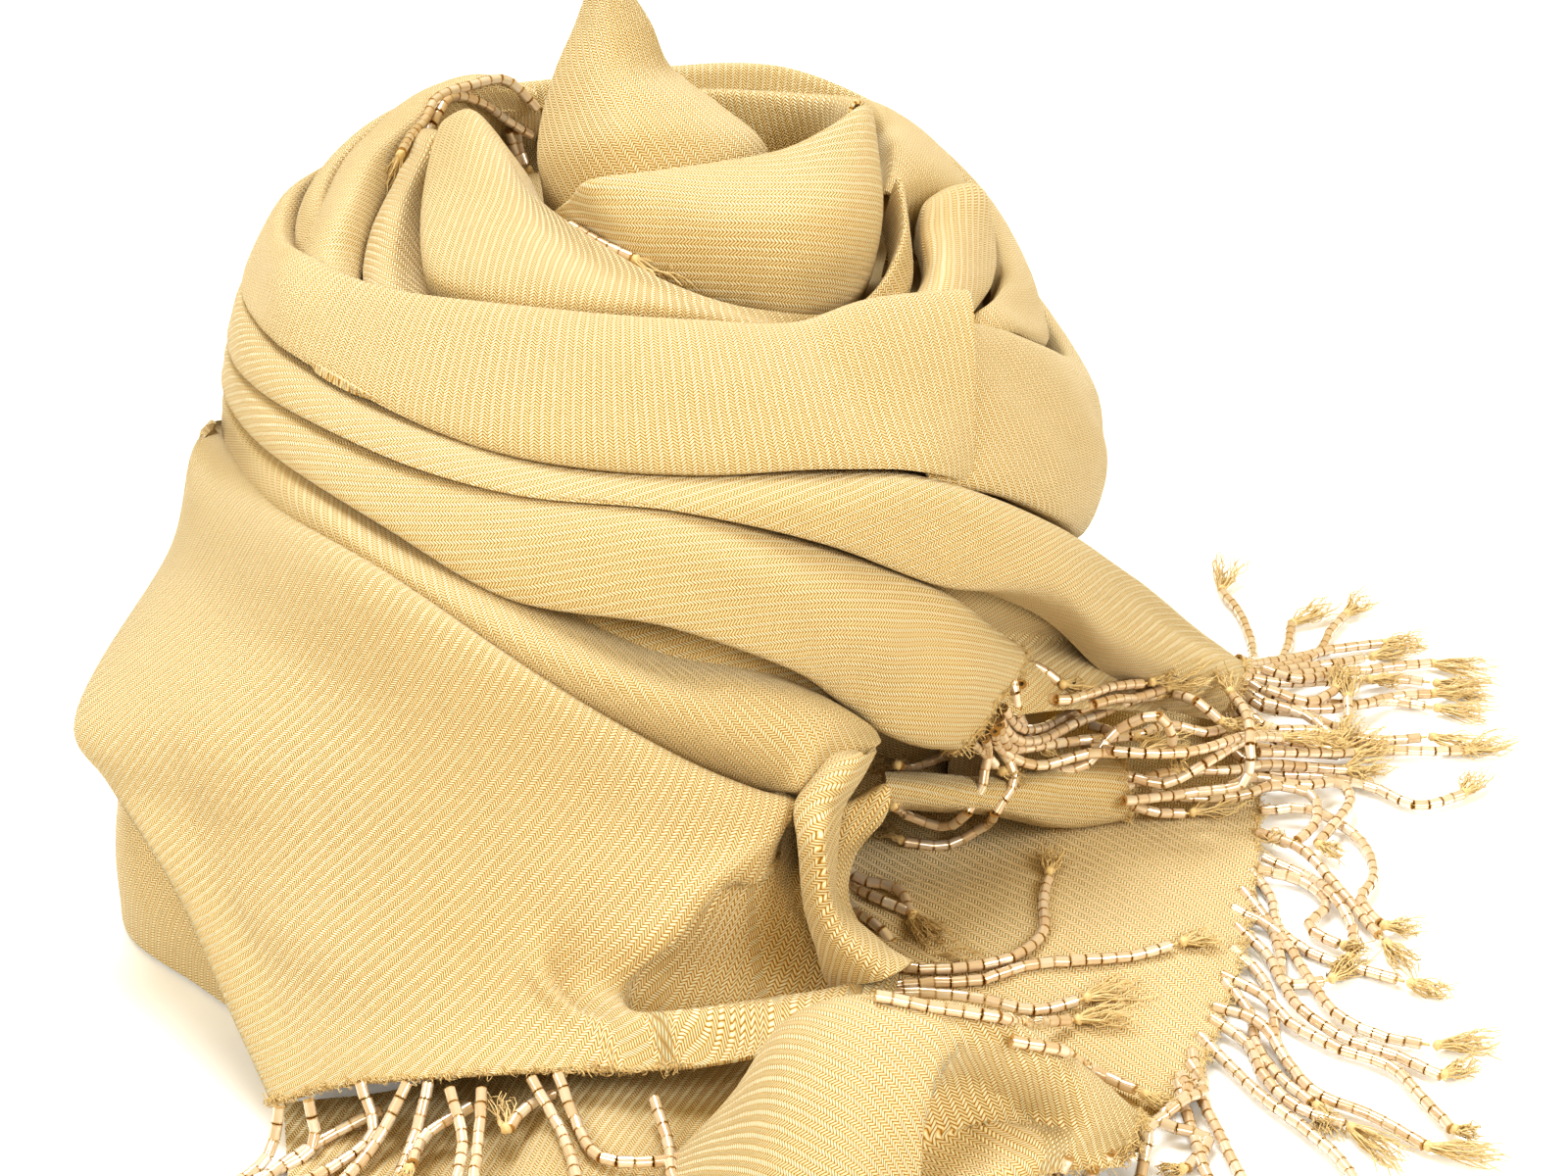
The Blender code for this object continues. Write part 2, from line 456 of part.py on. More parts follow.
def add_mesh(name, points, faces, colour, roughness):
    mesh = bpy.data.meshes.new(name)
    mesh.from_pydata((np.asarray(points) * MM).tolist(), [], faces)
    mesh.validate()
    mesh.shade_smooth()
    mesh.set_sharp_from_angle(angle=math.radians(50))
    mesh.materials.append(make_material(name, colour, roughness))
    thing = bpy.data.objects.new(name, mesh)
    bpy.context.scene.collection.objects.link(thing)
    return thing


def add_wall(name, sections, along=1, across=2, outward=1, colour=GOLD):
    """A wall of cloth: the surface through the sections, its inner side and its closed rim."""
    outer = surface(sections, along, across)
    inner = outer - outward * CLOTH * normals(outer)
    count_u, count_v = outer.shape[:2]
    index = np.arange(count_u * count_v).reshape(count_u, count_v)
    under = index + count_u * count_v
    faces = []
    for u in range(count_u - 1):
        for v in range(count_v - 1):
            ring = [index[u, v], index[u, v + 1], index[u + 1, v + 1], index[u + 1, v]]
            faces.append(ring)
            faces.append([at + count_u * count_v for at in reversed(ring)])
    rim = np.concatenate([index[:, 0], index[-1, 1:], index[-2::-1, -1], index[0, -2:0:-1]])
    shift = count_u * count_v
    for here, there in zip(rim, np.roll(rim, -1)):
        faces.append([here, there, there + shift, here + shift])
    if outward < 0:
        faces = [face[::-1] for face in faces]
    points = np.concatenate([outer.reshape(-1, 3), inner.reshape(-1, 3)])
    return add_mesh(name, points, [[int(at) for at in face] for face in faces], colour, 0.7)


def add_core():
    """The hidden layers: one rounded solid, level rings of points closed by flat ends."""
    rows = list(CORE) + [CORE[0]._replace(turn=180)]
    turns = np.array([row.turn for row in rows])
    places = np.linspace(-180, 180, CORE_SIDES, endpoint=False)
    rings = []
    for column, height in enumerate(CORE_HEIGHTS, start=1):
        radii = np.interp(places, turns, [row[column] for row in rows])
        radii = (np.roll(radii, 1) + 2 * radii + np.roll(radii, -1)) / 4
        rings.append([around(turn, radius, height) for turn, radius in zip(places, radii)])
    count = CORE_SIDES
    faces = [list(range(count))[::-1], [at + count * (len(rings) - 1) for at in range(count)]]
    for level in range(len(rings) - 1):
        for at in range(count):
            nearby = (at + 1) % count
            low, high = level * count, (level + 1) * count
            faces.append([low + at, low + nearby, high + nearby, high + at])
    add_mesh("hidden_layers", np.concatenate(rings), faces, GOLD_DEEP, 0.8)


def string_path(start, string):
    """Points of one string: it leaves level, falls to its rest height and winds along it."""
    points = [np.array(start)]
    drop = max(start[2] - string.rest, 0.0)
    step = string.length / STRING_STEPS
    for number in range(1, STRING_STEPS + 1):
        share = number / STRING_STEPS
        winding = string.wave * math.sin(2 * math.pi * share)
        angle = math.radians(string.heading + string.bend * share + winding)
        fallen = min(share / string.stiff, 1.0)
        height = start[2] - drop * fallen * fallen * (3 - 2 * fallen)
        rise = height - points[-1][2]
        run = math.sqrt(max(step * step - rise * rise, (0.25 * step) ** 2))
        points.append(points[-1] + np.array([run * math.sin(angle), -run * math.cos(angle), rise]))
    return np.array(points)


def strand_ring(centre, ahead, half):
    """Four corners round a string, level ones first."""
    ahead = ahead / np.linalg.norm(ahead)
    side = np.cross(ahead, (0, 0, 1))
    side = side / np.linalg.norm(side)
    above = np.cross(side, ahead)
    return [
        centre - half * side - half * above, centre + half * side - half * above,
        centre + half * side + half * above, centre - half * side + half * above,
    ]


def add_fringe(name, edge, strings):
    """Strings fused into one narrow strip that runs along the edge, given by two or more points."""
    line = through(edge, 8)
    run = np.concatenate([[0], np.cumsum(np.linalg.norm(np.diff(line, axis=0), axis=1))])
    half = STRAND / 2
    stations = [0.0]
    for string in strings:
        middle = string.at * (run[-1] - 2 * STRAND) + STRAND
        stations += [middle - half, middle + half]
    stations.append(run[-1])
    points, faces = [], []
    for place in stations:
        spot = np.array([np.interp(place, run, line[:, axis]) for axis in range(3)])
        near = np.array([np.interp(place + 0.5, run, line[:, axis]) for axis in range(3)])
        far = np.array([np.interp(place - 0.5, run, line[:, axis]) for axis in range(3)])
        ahead = near - far
        out = np.cross((0, 0, 1), ahead)
        out = STRIP * out / np.linalg.norm(out)
        rise = np.array([0, 0, half])
        points += [spot - rise, spot + out - rise, spot + out + rise, spot + rise]
    for number in range(len(stations) - 1):
        low, high = 4 * number, 4 * number + 4
        sides = [[0, 1], [1, 2], [2, 3], [3, 0]]
        for side, (a, b) in enumerate(sides):
            rooted = number % 2 == 1 and number < len(stations) - 2
            if side == 1 and rooted:
                continue
            faces.append([low + a, high + a, high + b, low + b])
    last = 4 * (len(stations) - 1)
    faces.append([0, 1, 2, 3])
    faces.append([last + 3, last + 2, last + 1, last])
    for number, string in enumerate(strings):
        base = 4 * (2 * number + 1)
        ring = [base + 1, base + 5, base + 6, base + 2]
        start = np.mean([points[at] for at in ring], axis=0)
        path = string_path(start, string)
        knot = round((1 - TUFT_SHARE) * STRING_STEPS)
        for step in range(1, len(path)):
            share = step / STRING_STEPS
            width = KNOT if step == knot else STRAND
            if step > knot:
                width = STRAND + (STRAND_TIP - STRAND) * (share - 1 + TUFT_SHARE) / TUFT_SHARE
            toward = path[min(step + 1, len(path) - 1)] - path[step - 1]
            fresh = len(points)
            points += strand_ring(path[step], toward, width / 2)
            new = [fresh, fresh + 1, fresh + 2, fresh + 3]
            for a in range(4):
                b = (a + 1) % 4
                faces.append([ring[a], ring[b], new[b], new[a]])
            ring = new
        faces.append(ring)
    return add_mesh(name, points, [face[::-1] for face in faces], BEAD, 0.35)


# One row for each fringe: how its first and last string lie. Headings are turns.
String = namedtuple("String", "at heading bend wave length rest stiff")
FRINGES = table(
    "name count first_heading last_heading bend wave length rest stiff",
    ("fringe_upper", 10, 114, 74, 6, 16, 66, REST, 0.35),
    ("fringe_upper_inner", 4, 90, 84, -6, 12, 38, REST, 0.4),
    ("fringe_floor", 13, 70, 34, -14, 22, 62, REST, 0.2),
    ("fringe_middle", 5, 70, 52, -14, 6, 32, 31, 0.6),
    ("fringe_small_roll", 3, 84, 62, 12, 10, 44, 9, 0.3),
    ("fringe_flap_right", 3, 70, 58, -10, 8, 42, 11, 0.2),
    ("fringe_hem", 5, -6, -12, 8, 10, 42, 8.6, 0.5),
    ("fringe_hem_left", 6, -30, -66, 10, 14, 50, REST, 0.5),
    ("fringe_foreground", 5, 62, 20, 10, 10, 36, REST, 0.6),
    ("fringe_top_left", 1, -66, -66, 58, 0, 84, 134.8, 0.7),
)
# The edge that each strip follows, from its first string to its last
EDGES = {
    "fringe_upper": ((130.0, -4, 9), (128.5, -14, 12), (128.0, -24, 10), (115.0, -44, 19)),
    "fringe_upper_inner": ((84.5, -22, 11), (82.3, -30.6, 11), (78.7, -39, 10)),
    "fringe_floor": ((129.6, -58, 2.6), (119.6, -108, 2.6), (103.4, -160, 2.6)),
    "fringe_middle": ((74.8, -70.6, 48), (68.8, -83.5, 44.5), (60.7, -94.4, 40.5)),
    "fringe_small_roll": ((98.9, -63.5, 15.6), (98.6, -70, 12.6)),
    "fringe_flap_right": ((44.2, -129, 14), (45.8, -141, 13.5)),
    "fringe_hem": ((1, -168.8, 13), (-12, -168.8, 12), (-29, -168.8, 11)),
    "fringe_hem_left": ((-34, -168.6, 10.2), (-52, -168.5, 7.8), (-69, -168.3, 5.5)),
    "fringe_foreground": ((92.3, -185.9, 8.4), (77.4, -201.4, 11.4), (65.7, -212.3, 9.4)),
    "fringe_top_left": ((-35.0, 43.4, 138.0), (-32.8, 38.4, 138.0)),
}


def fringe_strings(fringe, number):
    """The strings of a fringe, evenly spaced, with a small seeded unevenness."""
    random.seed(number)
    strings = []
    for place in range(fringe.count):
        share = (place + 0.5) / fringe.count if fringe.count == 1 else place / (fringe.count - 1)
        heading = fringe.first_heading + share * (fringe.last_heading - fringe.first_heading)
        strings.append(String(
            share, heading + random.uniform(-2, 2), fringe.bend * random.uniform(0.6, 1.0),
            fringe.wave * random.uniform(0.8, 1.0), fringe.length * random.uniform(0.93, 1.07),
            fringe.rest, fringe.stiff,
        ))
    return strings


def main():
    for thing in list(bpy.data.objects):
        bpy.data.objects.remove(thing, do_unlink=True)

    add_core()
    add_wall("wide_band", ring_sections(WIDE_BAND))
    add_wall("right_band", ring_sections(RIGHT_BAND))
    add_wall("upper_band", band_sections(UPPER_TURNS) + list(UPPER_TAIL))
    add_wall("middle_band", band_sections(MIDDLE_TURNS) + list(MIDDLE_TAIL))
    add_wall("rolled_band", band_sections(ROLLED_BAND))
    add_wall("inner_fold", INNER_FOLD, 2, 1)
    add_wall("front_flap", FRONT_FLAP, 2, 2)
    add_wall("left_underlayer", LEFT_UNDERLAYER, 1, 2)
    add_wall("right_underlayer", pair_sections(RIGHT_UNDERLAYER))
    add_wall("floor_layer", FLOOR_LAYER, 2, 4)
    add_wall("small_roll", SMALL_ROLL, 2, 2)
    add_wall("under_hem_layer", UNDER_HEM_LAYER, 2, 4)
    add_wall("foreground_flap", FOREGROUND_FLAP, 2, 2)
    add_wall("outer_ring", ring_sections(OUTER_RING))
    add_wall("inner_ring", inner_ring_sections(INNER_RING))
    add_wall("left_fold_outer", pair_sections(LEFT_FOLD_OUTER))
    add_wall("left_fold_inner", pair_sections(LEFT_FOLD_INNER))
    add_wall("ring_fold", RING_FOLD, 2, 2)
    add_wall("left_petal", LEFT_PETAL, 2, 2)
    add_wall("front_petal", FRONT_PETAL, 2, 2)
    add_wall("inner_petal", INNER_PETAL, 2, 2)
    add_wall("tip_petal", TIP_PETAL, 1, 3)
    for number, fringe in enumerate(FRINGES):
        add_fringe(fringe.name, EDGES[fringe.name], fringe_strings(fringe, number))


main()
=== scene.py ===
import math
from collections import namedtuple
from functools import partial

import bpy
import numpy as np
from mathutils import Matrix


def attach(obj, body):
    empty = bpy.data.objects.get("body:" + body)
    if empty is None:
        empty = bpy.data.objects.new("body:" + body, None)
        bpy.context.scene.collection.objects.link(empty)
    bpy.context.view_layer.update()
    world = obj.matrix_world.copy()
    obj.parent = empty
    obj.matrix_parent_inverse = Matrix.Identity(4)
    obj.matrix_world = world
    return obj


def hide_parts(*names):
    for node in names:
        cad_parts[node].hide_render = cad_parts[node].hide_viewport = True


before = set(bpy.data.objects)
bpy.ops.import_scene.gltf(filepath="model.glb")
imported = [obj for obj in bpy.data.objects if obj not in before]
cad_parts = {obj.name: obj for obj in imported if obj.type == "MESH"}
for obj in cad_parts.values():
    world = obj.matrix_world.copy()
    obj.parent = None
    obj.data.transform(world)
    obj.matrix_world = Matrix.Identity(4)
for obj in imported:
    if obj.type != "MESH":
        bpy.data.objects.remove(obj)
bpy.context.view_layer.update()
coarser = 1.0
mm = 0.001  # the tables are in millimetres and degrees, the meshes in metres
print("frame loaded")


def table(columns, *rows):
    # names the columns of a table and gives back its rows
    rowType = namedtuple("Row", columns)
    return [rowType(*row) for row in rows]


def around(turn, radius, height):
    # the point at a turn, a radius from the heap's axis and a height; turn 0 faces the front
    angle = np.radians(turn)
    return (radius * np.sin(angle), -radius * np.cos(angle), height)


def smoothRun(points, count):
    # a cubic through the points along axis 0, whose slope at each point is that of its neighbours,
    # read at count places spread evenly over its length
    points = np.asarray(points, float)
    spans = np.linalg.norm(np.diff(points, axis=0), axis=-1).reshape(len(points) - 1, -1)
    knots = np.concatenate([[0.0], np.cumsum(spans.mean(axis=1))])
    slopes = np.gradient(points, knots, axis=0)
    places = np.linspace(0, knots[-1], count)
    first = np.clip(np.searchsorted(knots, places, side="right") - 1, 0, len(points) - 2)
    span = knots[first + 1] - knots[first]
    t = (places - knots[first]) / span
    shape = (-1,) + (1,) * (points.ndim - 1)
    t, span = t.reshape(shape), span.reshape(shape)
    start, end = points[first], points[first + 1]
    out, into = slopes[first] * span, slopes[first + 1] * span
    return (
        (2 * t**3 - 3 * t**2 + 1) * start + (t**3 - 2 * t**2 + t) * out
        + (3 * t**2 - 2 * t**3) * end + (t**3 - t**2) * into
    )


def runLength(points):
    # mean length along axis 0
    steps = np.linalg.norm(np.diff(points, axis=0), axis=-1)
    return steps.reshape(len(steps), -1).mean(axis=1).sum()


def clothGrid(sections, spacing):
    # the surface through the sections: smooth along the rows, then smooth across them
    sections = np.asarray(sections, float)
    along = smoothRun(sections, max(int(runLength(sections) / spacing), 12))
    crossed = along.transpose(1, 0, 2)
    across = smoothRun(crossed, max(int(runLength(crossed) / spacing), 10))
    return across.transpose(1, 0, 2)


def outSides(grid):
    # unit normals on the side that the cloth faces: across the sections times along them
    side = np.cross(np.gradient(grid, axis=1), np.gradient(grid, axis=0))
    return side / np.maximum(np.linalg.norm(side, axis=2, keepdims=True), 1e-9)


def flatPlaces(grid, first=None):
    # where each point lies on the flat cloth: the mean run along, and each section's own run across,
    # which starts at first, or half the section's run before its middle
    along = np.linalg.norm(np.diff(grid, axis=0), axis=2).mean(axis=1)
    across = np.linalg.norm(np.diff(grid, axis=1), axis=2)
    u = np.concatenate([[0.0], np.cumsum(along)])[:, None] + 0 * grid[:, :, 0]
    v = np.concatenate([np.zeros((len(grid), 1)), np.cumsum(across, axis=1)], axis=1)
    return np.stack([u, v + (first if first is not None else -v[:, -1:] / 2)], axis=2)


def settledPlaces(flat, grid, rounds=150, share=0.12, keep=0.95, evened=40):
    # moves the flat places until their distances fit those on the cloth: every tie between
    # neighbours pulls both its ends by a share of its error, and a place keeps most of its speed;
    # the moves are then evened out by averaging each with its four neighbours
    begun = flat
    rest, up, down = slice(None), slice(1, None), slice(None, -1)
    ties = [
        ((up, rest), (down, rest)), ((rest, up), (rest, down)),
        ((up, up), (down, down)), ((up, down), (down, up)),
    ]
    lengths = [np.linalg.norm(grid[end] - grid[start], axis=2) for end, start in ties]
    flat, speed = flat.copy(), np.zeros_like(flat)
    for _ in range(rounds):
        pull = np.zeros_like(flat)
        for (end, start), length in zip(ties, lengths):
            gap = flat[end] - flat[start]
            have = np.maximum(np.linalg.norm(gap, axis=2), 1e-6)
            step = gap * (share * (length - have) / have)[..., None]
            pull[end] += step
            pull[start] -= step
        speed = keep * speed + pull
        flat += speed
    moves = flat - begun
    for _ in range(evened):
        wide = np.pad(moves, ((1, 1), (1, 1), (0, 0)), mode="edge")
        neighbours = wide[:-2, 1:-1] + wide[2:, 1:-1] + wide[1:-1, :-2] + wide[1:-1, 2:]
        moves = (neighbours + 2 * moves) / 6
    return begun + moves


def unevenness(flat, seed, size, depth):
    # a slow swell: eight sine waves of mixed direction, length and start, added up
    rng = np.random.default_rng(seed)
    swell = np.zeros(flat.shape[:2])
    for turn, stretch, phase in rng.uniform((0, 0.7, 0), (np.pi, 1.9, 2 * np.pi), (8, 3)):
        wave = flat[..., 0] * np.cos(turn) + flat[..., 1] * np.sin(turn)
        swell += np.sin(2 * np.pi * wave / (size * stretch) + phase)
    return depth * swell / 4


def creaseRelief(flat, creases):
    # soft troughs (depth below 0) and ridges: each falls off as exp(-(distance / width)^2) from the
    # line between two places, given as shares of the way along and across, and fades to its ends
    relief = np.zeros(flat.shape[:2])
    last = np.array(flat.shape[:2]) - 1
    for crease in creases:
        start = flat[int(crease.u * last[0]), int(crease.v * last[1])]
        end = flat[int(crease.toU * last[0]), int(crease.toV * last[1])]
        run = end - start
        share = np.clip(((flat - start) @ run) / max(run @ run, 1e-9), 0, 1)
        away = np.linalg.norm(flat - start - share[..., None] * run, axis=2)
        fade = np.sin(np.pi * (0.12 + 0.76 * share))  # 0.37 at both ends, 1 halfway
        relief += crease.depth * fade * np.exp(-((away / crease.width) ** 2))
    return relief


def ribPlaces(flat, look):
    # x counts across the ribs and y along them, in millimetres: straight ribs turned by ribTurn,
    # or ribs that are arcs round ribCentre, where y is measured on the arc at the piece's middle;
    # weaveSize above 1 makes the weave coarser
    flat = flat / look.get("weaveSize", 1.0)
    if "ribCentre" in look:
        out = flat - np.array(look["ribCentre"])
        middle = out.reshape(-1, 2).mean(axis=0)
        angle = np.arctan2(out[..., 1], out[..., 0])
        return np.stack([np.hypot(out[..., 0], out[..., 1]), angle * np.hypot(*middle)], axis=2)
    turn = math.radians(look["ribTurn"])
    return flat @ np.array([[math.cos(turn), -math.sin(turn)], [math.sin(turn), math.cos(turn)]])


def hollowRelief(flat, hollows):
    # a hollow with straight sides: each place's depth is the full depth times a smooth step of how
    # far it lies inside every side, over that side's own softness
    relief = np.zeros(flat.shape[:2])
    last = np.array(flat.shape[:2]) - 1
    for depth, sides in hollows:
        corners = [flat[int(u * last[0]), int(v * last[1])] for u, v, soft in sides]
        middle = np.mean(corners, axis=0)
        step = np.ones(flat.shape[:2])
        for start, end, (_, _, soft) in zip(corners, corners[1:] + corners[:1], sides):
            run = (end - start) / np.linalg.norm(end - start)
            square = np.array([-run[1], run[0]])
            square *= np.sign((middle - start) @ square)
            share = np.clip((flat - start) @ square / soft, 0, 1)
            step *= share * share * (3 - 2 * share)
        relief += depth * step
    return relief


def meshPiece(name, points, faces, material, flat=None):
    # points in millimetres, faces as lists of indices; flat is each point's place on the flat cloth
    mesh = bpy.data.meshes.new(name)
    mesh.from_pydata((points * mm).tolist(), [], faces)
    mesh.shade_smooth()
    if flat is not None:
        corners = np.zeros(len(mesh.loops), int)
        mesh.loops.foreach_get("vertex_index", corners)
        layer = mesh.uv_layers.new(name="flatCloth")
        layer.data.foreach_set("uv", (flat[corners] * mm).ravel())
    mesh.materials.append(material)
    piece = bpy.data.objects.new(name, mesh)
    bpy.context.scene.collection.objects.link(piece)
    return piece


def standFor(piece, nodes):
    # the piece rides the body and takes the place of the CAD nodes
    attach(piece, "root")
    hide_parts(*nodes)


def ringFaces(index):
    # quads between neighbouring rings of points, each ring closed on itself
    beside = np.roll(index, -1, axis=-1)
    corners = [index[..., :-1, :], beside[..., :-1, :], beside[..., 1:, :], index[..., 1:, :]]
    return np.stack(corners, axis=-1).reshape(-1, 4)


def poleFaces(index, south, north):
    # triangles that close the first ring at its south point and the last one at its north point
    beside = np.roll(index, -1, axis=1)
    ends = [(beside[0], index[0], south), (index[-1], beside[-1], north)]
    triangles = [np.stack([one, two, np.full(len(one), pole)], axis=1) for one, two, pole in ends]
    return np.concatenate(triangles)


def shellFaces(rows, columns):
    # the outer grid, the inner grid behind it turned round, and the rim between the two
    index = np.arange(rows * columns).reshape(rows, columns)
    shift = rows * columns
    corners = [index[:-1, :-1], index[:-1, 1:], index[1:, 1:], index[1:, :-1]]
    outer = np.stack(corners, axis=-1).reshape(-1, 4)
    rim = np.concatenate([index[:, 0], index[-1, 1:], index[-2::-1, -1], index[0, -2:0:-1]])
    after = np.roll(rim, -1)
    edge = np.stack([rim, after, after + shift, rim + shift], axis=1)
    return np.concatenate([outer, outer[:, ::-1] + shift, edge])


def giveInput(tree, socket, value):
    # a number or colour is set on the socket, anything else is linked to it
    if isinstance(value, tuple):
        socket.default_value = (*value, 1.0)
    elif isinstance(value, (int, float)):
        socket.default_value = value
    else:
        tree.links.new(value, socket)


def mathNode(tree, operation, first, second=None):
    # one sum on one or two values
    node = tree.nodes.new("ShaderNodeMath")
    node.operation = operation
    giveInput(tree, node.inputs[0], first)
    if second is not None:
        giveInput(tree, node.inputs[1], second)
    return node.outputs[0]


def blendColours(tree, share, low, high):
    # low where the share is 0, high where it is 1
    node = tree.nodes.new("ShaderNodeMix")
    node.data_type = "RGBA"
    giveInput(tree, node.inputs[0], share)
    giveInput(tree, node.inputs[6], low)
    giveInput(tree, node.inputs[7], high)
    return node.outputs[2]


def noiseNode(tree, vector, scale, detail=2.0):
    # a soft random value from 0 to 1
    node = tree.nodes.new("ShaderNodeTexNoise")
    node.inputs["Scale"].default_value = scale
    node.inputs["Detail"].default_value = detail
    tree.links.new(vector, node.inputs["Vector"])
    return node.outputs[0]


def addBump(tree, shader, height, strength, depth):
    # small relief: height 1 stands depth metres above height 0
    bump = tree.nodes.new("ShaderNodeBump")
    bump.inputs["Strength"].default_value = strength
    bump.inputs["Distance"].default_value = depth
    tree.links.new(height, bump.inputs["Height"])
    tree.links.new(bump.outputs[0], shader.inputs["Normal"])


def newMaterial(name, settings):
    # a material with its shader's plain settings made, and the two things that the rest needs
    material = bpy.data.materials.new(name)
    material.use_nodes = True
    shader = material.node_tree.nodes["Principled BSDF"]
    for socket, value in settings.items():
        giveInput(material.node_tree, shader.inputs[socket], value)
    return material, material.node_tree, shader


def clothPlaces(tree):
    # the place on the flat cloth, in metres
    places = tree.nodes.new("ShaderNodeUVMap")
    places.uv_map = "flatCloth"
    return places.outputs[0]


twillWeave = {
    "Rib pair": 0.0019, "Stitch": 0.00066, "Slant": 1.25, "Unevenness": 0.22,
    "wanderScale": 260.0, "slowScale": 22.0,
}


def twillGroup(look):
    # herringbone twill: stitches are ridges that zigzag across the ribs; a rib is half a zigzag.
    # height = ((1 + cos(2 pi stitch)) / 2)^0.8 * (0.2 + 0.8 |sin(2 pi rib)|^0.6), where
    # rib = x / rib pair + wander, stitch = y / stitch + slant * zigzag(rib) + 1.6 wander
    group = bpy.data.node_groups.new("herringboneTwill", "ShaderNodeTree")
    sockets = group.interface
    sockets.new_socket("Flat place", in_out="INPUT", socket_type="NodeSocketVector")
    for name in ("Rib pair", "Stitch", "Slant", "Unevenness"):
        socket = sockets.new_socket(name, in_out="INPUT", socket_type="NodeSocketFloat")
        socket.default_value = look[name]
    for name in ("Height", "Slope side", "Slow change"):
        sockets.new_socket(name, in_out="OUTPUT", socket_type="NodeSocketFloat")
    given = group.nodes.new("NodeGroupInput")
    result = group.nodes.new("NodeGroupOutput")
    place = given.outputs["Flat place"]
    split = group.nodes.new("ShaderNodeSeparateXYZ")
    group.links.new(place, split.inputs[0])
    sums = partial(mathNode, group)
    wander = sums("SUBTRACT", noiseNode(group, place, look["wanderScale"]), 0.5)
    wander = sums("MULTIPLY", wander, given.outputs["Unevenness"])
    rib = sums("ADD", sums("DIVIDE", split.outputs[0], given.outputs["Rib pair"]), wander)
    zigzag = sums("MULTIPLY", sums("PINGPONG", rib, 0.5), 2.0)
    stitch = sums("DIVIDE", split.outputs[1], given.outputs["Stitch"])
    stitch = sums("ADD", stitch, sums("MULTIPLY", zigzag, given.outputs["Slant"]))
    stitch = sums("ADD", stitch, sums("MULTIPLY", wander, 1.6))
    wave = sums("ADD", sums("COSINE", sums("MULTIPLY", stitch, 2 * math.pi)), 1.0)
    thread = sums("POWER", sums("MULTIPLY", wave, 0.5), 0.8)
    slope = sums("SINE", sums("MULTIPLY", rib, 2 * math.pi))
    belly = sums("POWER", sums("ABSOLUTE", slope), 0.6)
    belly = sums("ADD", sums("MULTIPLY", belly, 0.8), 0.2)
    side = sums("ADD", sums("MULTIPLY", slope, 0.5), 0.5)
    group.links.new(sums("MULTIPLY", thread, belly), result.inputs["Height"])
    group.links.new(side, result.inputs["Slope side"])
    group.links.new(noiseNode(group, place, look["slowScale"], 3.0), result.inputs["Slow change"])
    return group


clothFinish = {
    # the weave's painted light: light is the painted highlight, shade the painted shade, deep the darkest
    # painted shade
    "light": (0.95, 0.91, 0.72), "shade": (0.74, 0.46, 0.09), "deep": (0.30, 0.14, 0.025),
    "roughness": 0.64, "gloss": 0.22,  # the stitches' tops are smoother by gloss
    # glint paints sheen on one side of each zigzag; lightGain scales the painted highlight
    "glintLow": 0.58, "glintSpan": 0.42, "lightGain": 1.6,
    "pitShadeStart": 0.2, "pitShadeGain": 4.5, "fading": 0.22,
    "bumpDepth": 0.00022, "bumpStrength": 0.9,
    "settings": {"Sheen Weight": 0.6, "Sheen Roughness": 0.45, "Sheen Tint": (1.0, 0.97, 0.88)},
}


def clothMaterial(name, look, twill):
    # painted highlight on stitch tops, more on one side of each zigzag, painted shade between, darkest in
    # pits
    material, tree, shader = newMaterial(name, look["settings"])
    sums = partial(mathNode, tree)
    weave = tree.nodes.new("ShaderNodeGroup")
    weave.node_tree = twill
    tree.links.new(clothPlaces(tree), weave.inputs["Flat place"])
    height, side = weave.outputs["Height"], weave.outputs["Slope side"]
    # painted sheen: one side of each zigzag gets more of the painted highlight
    glint = sums("ADD", sums("MULTIPLY", side, look["glintSpan"]), look["glintLow"])
    paintedHighlight = sums("MULTIPLY", sums("MULTIPLY", height, glint), look["lightGain"])
    paintedHighlight = sums("MINIMUM", paintedHighlight, 1.0)
    colour = blendColours(tree, paintedHighlight, look["shade"], look["light"])
    # painted shade in the pits between the threads, darkened towards deep
    pitShade = sums("MULTIPLY", sums("SUBTRACT", look["pitShadeStart"], height), look["pitShadeGain"])
    colour = blendColours(tree, sums("MAXIMUM", pitShade, 0.0), colour, look["deep"])
    slow = sums("MULTIPLY", sums("SUBTRACT", weave.outputs["Slow change"], 0.5), look["fading"])
    colour = blendColours(tree, sums("MAXIMUM", slow, 0.0), colour, look["shade"])
    tree.links.new(colour, shader.inputs["Base Color"])
    rough = sums("SUBTRACT", look["roughness"], sums("MULTIPLY", paintedHighlight, look["gloss"]))
    tree.links.new(rough, shader.inputs["Roughness"])
    addBump(tree, shader, height, look["bumpStrength"], look["bumpDepth"])
    return material


beadFinish = {
    # edge is the colour of the painted shade at each bead's ends
    "glass": (0.98, 0.90, 0.80), "dusky": (0.88, 0.72, 0.56), "edge": (0.62, 0.42, 0.20),
    "endShadeGain": 9.0,  # the painted shade at each end takes a ninth of the bead's length
    "settings": {"Roughness": 0.16, "Metallic": 0.35, "Coat Weight": 1.0, "Coat Roughness": 0.06},
}


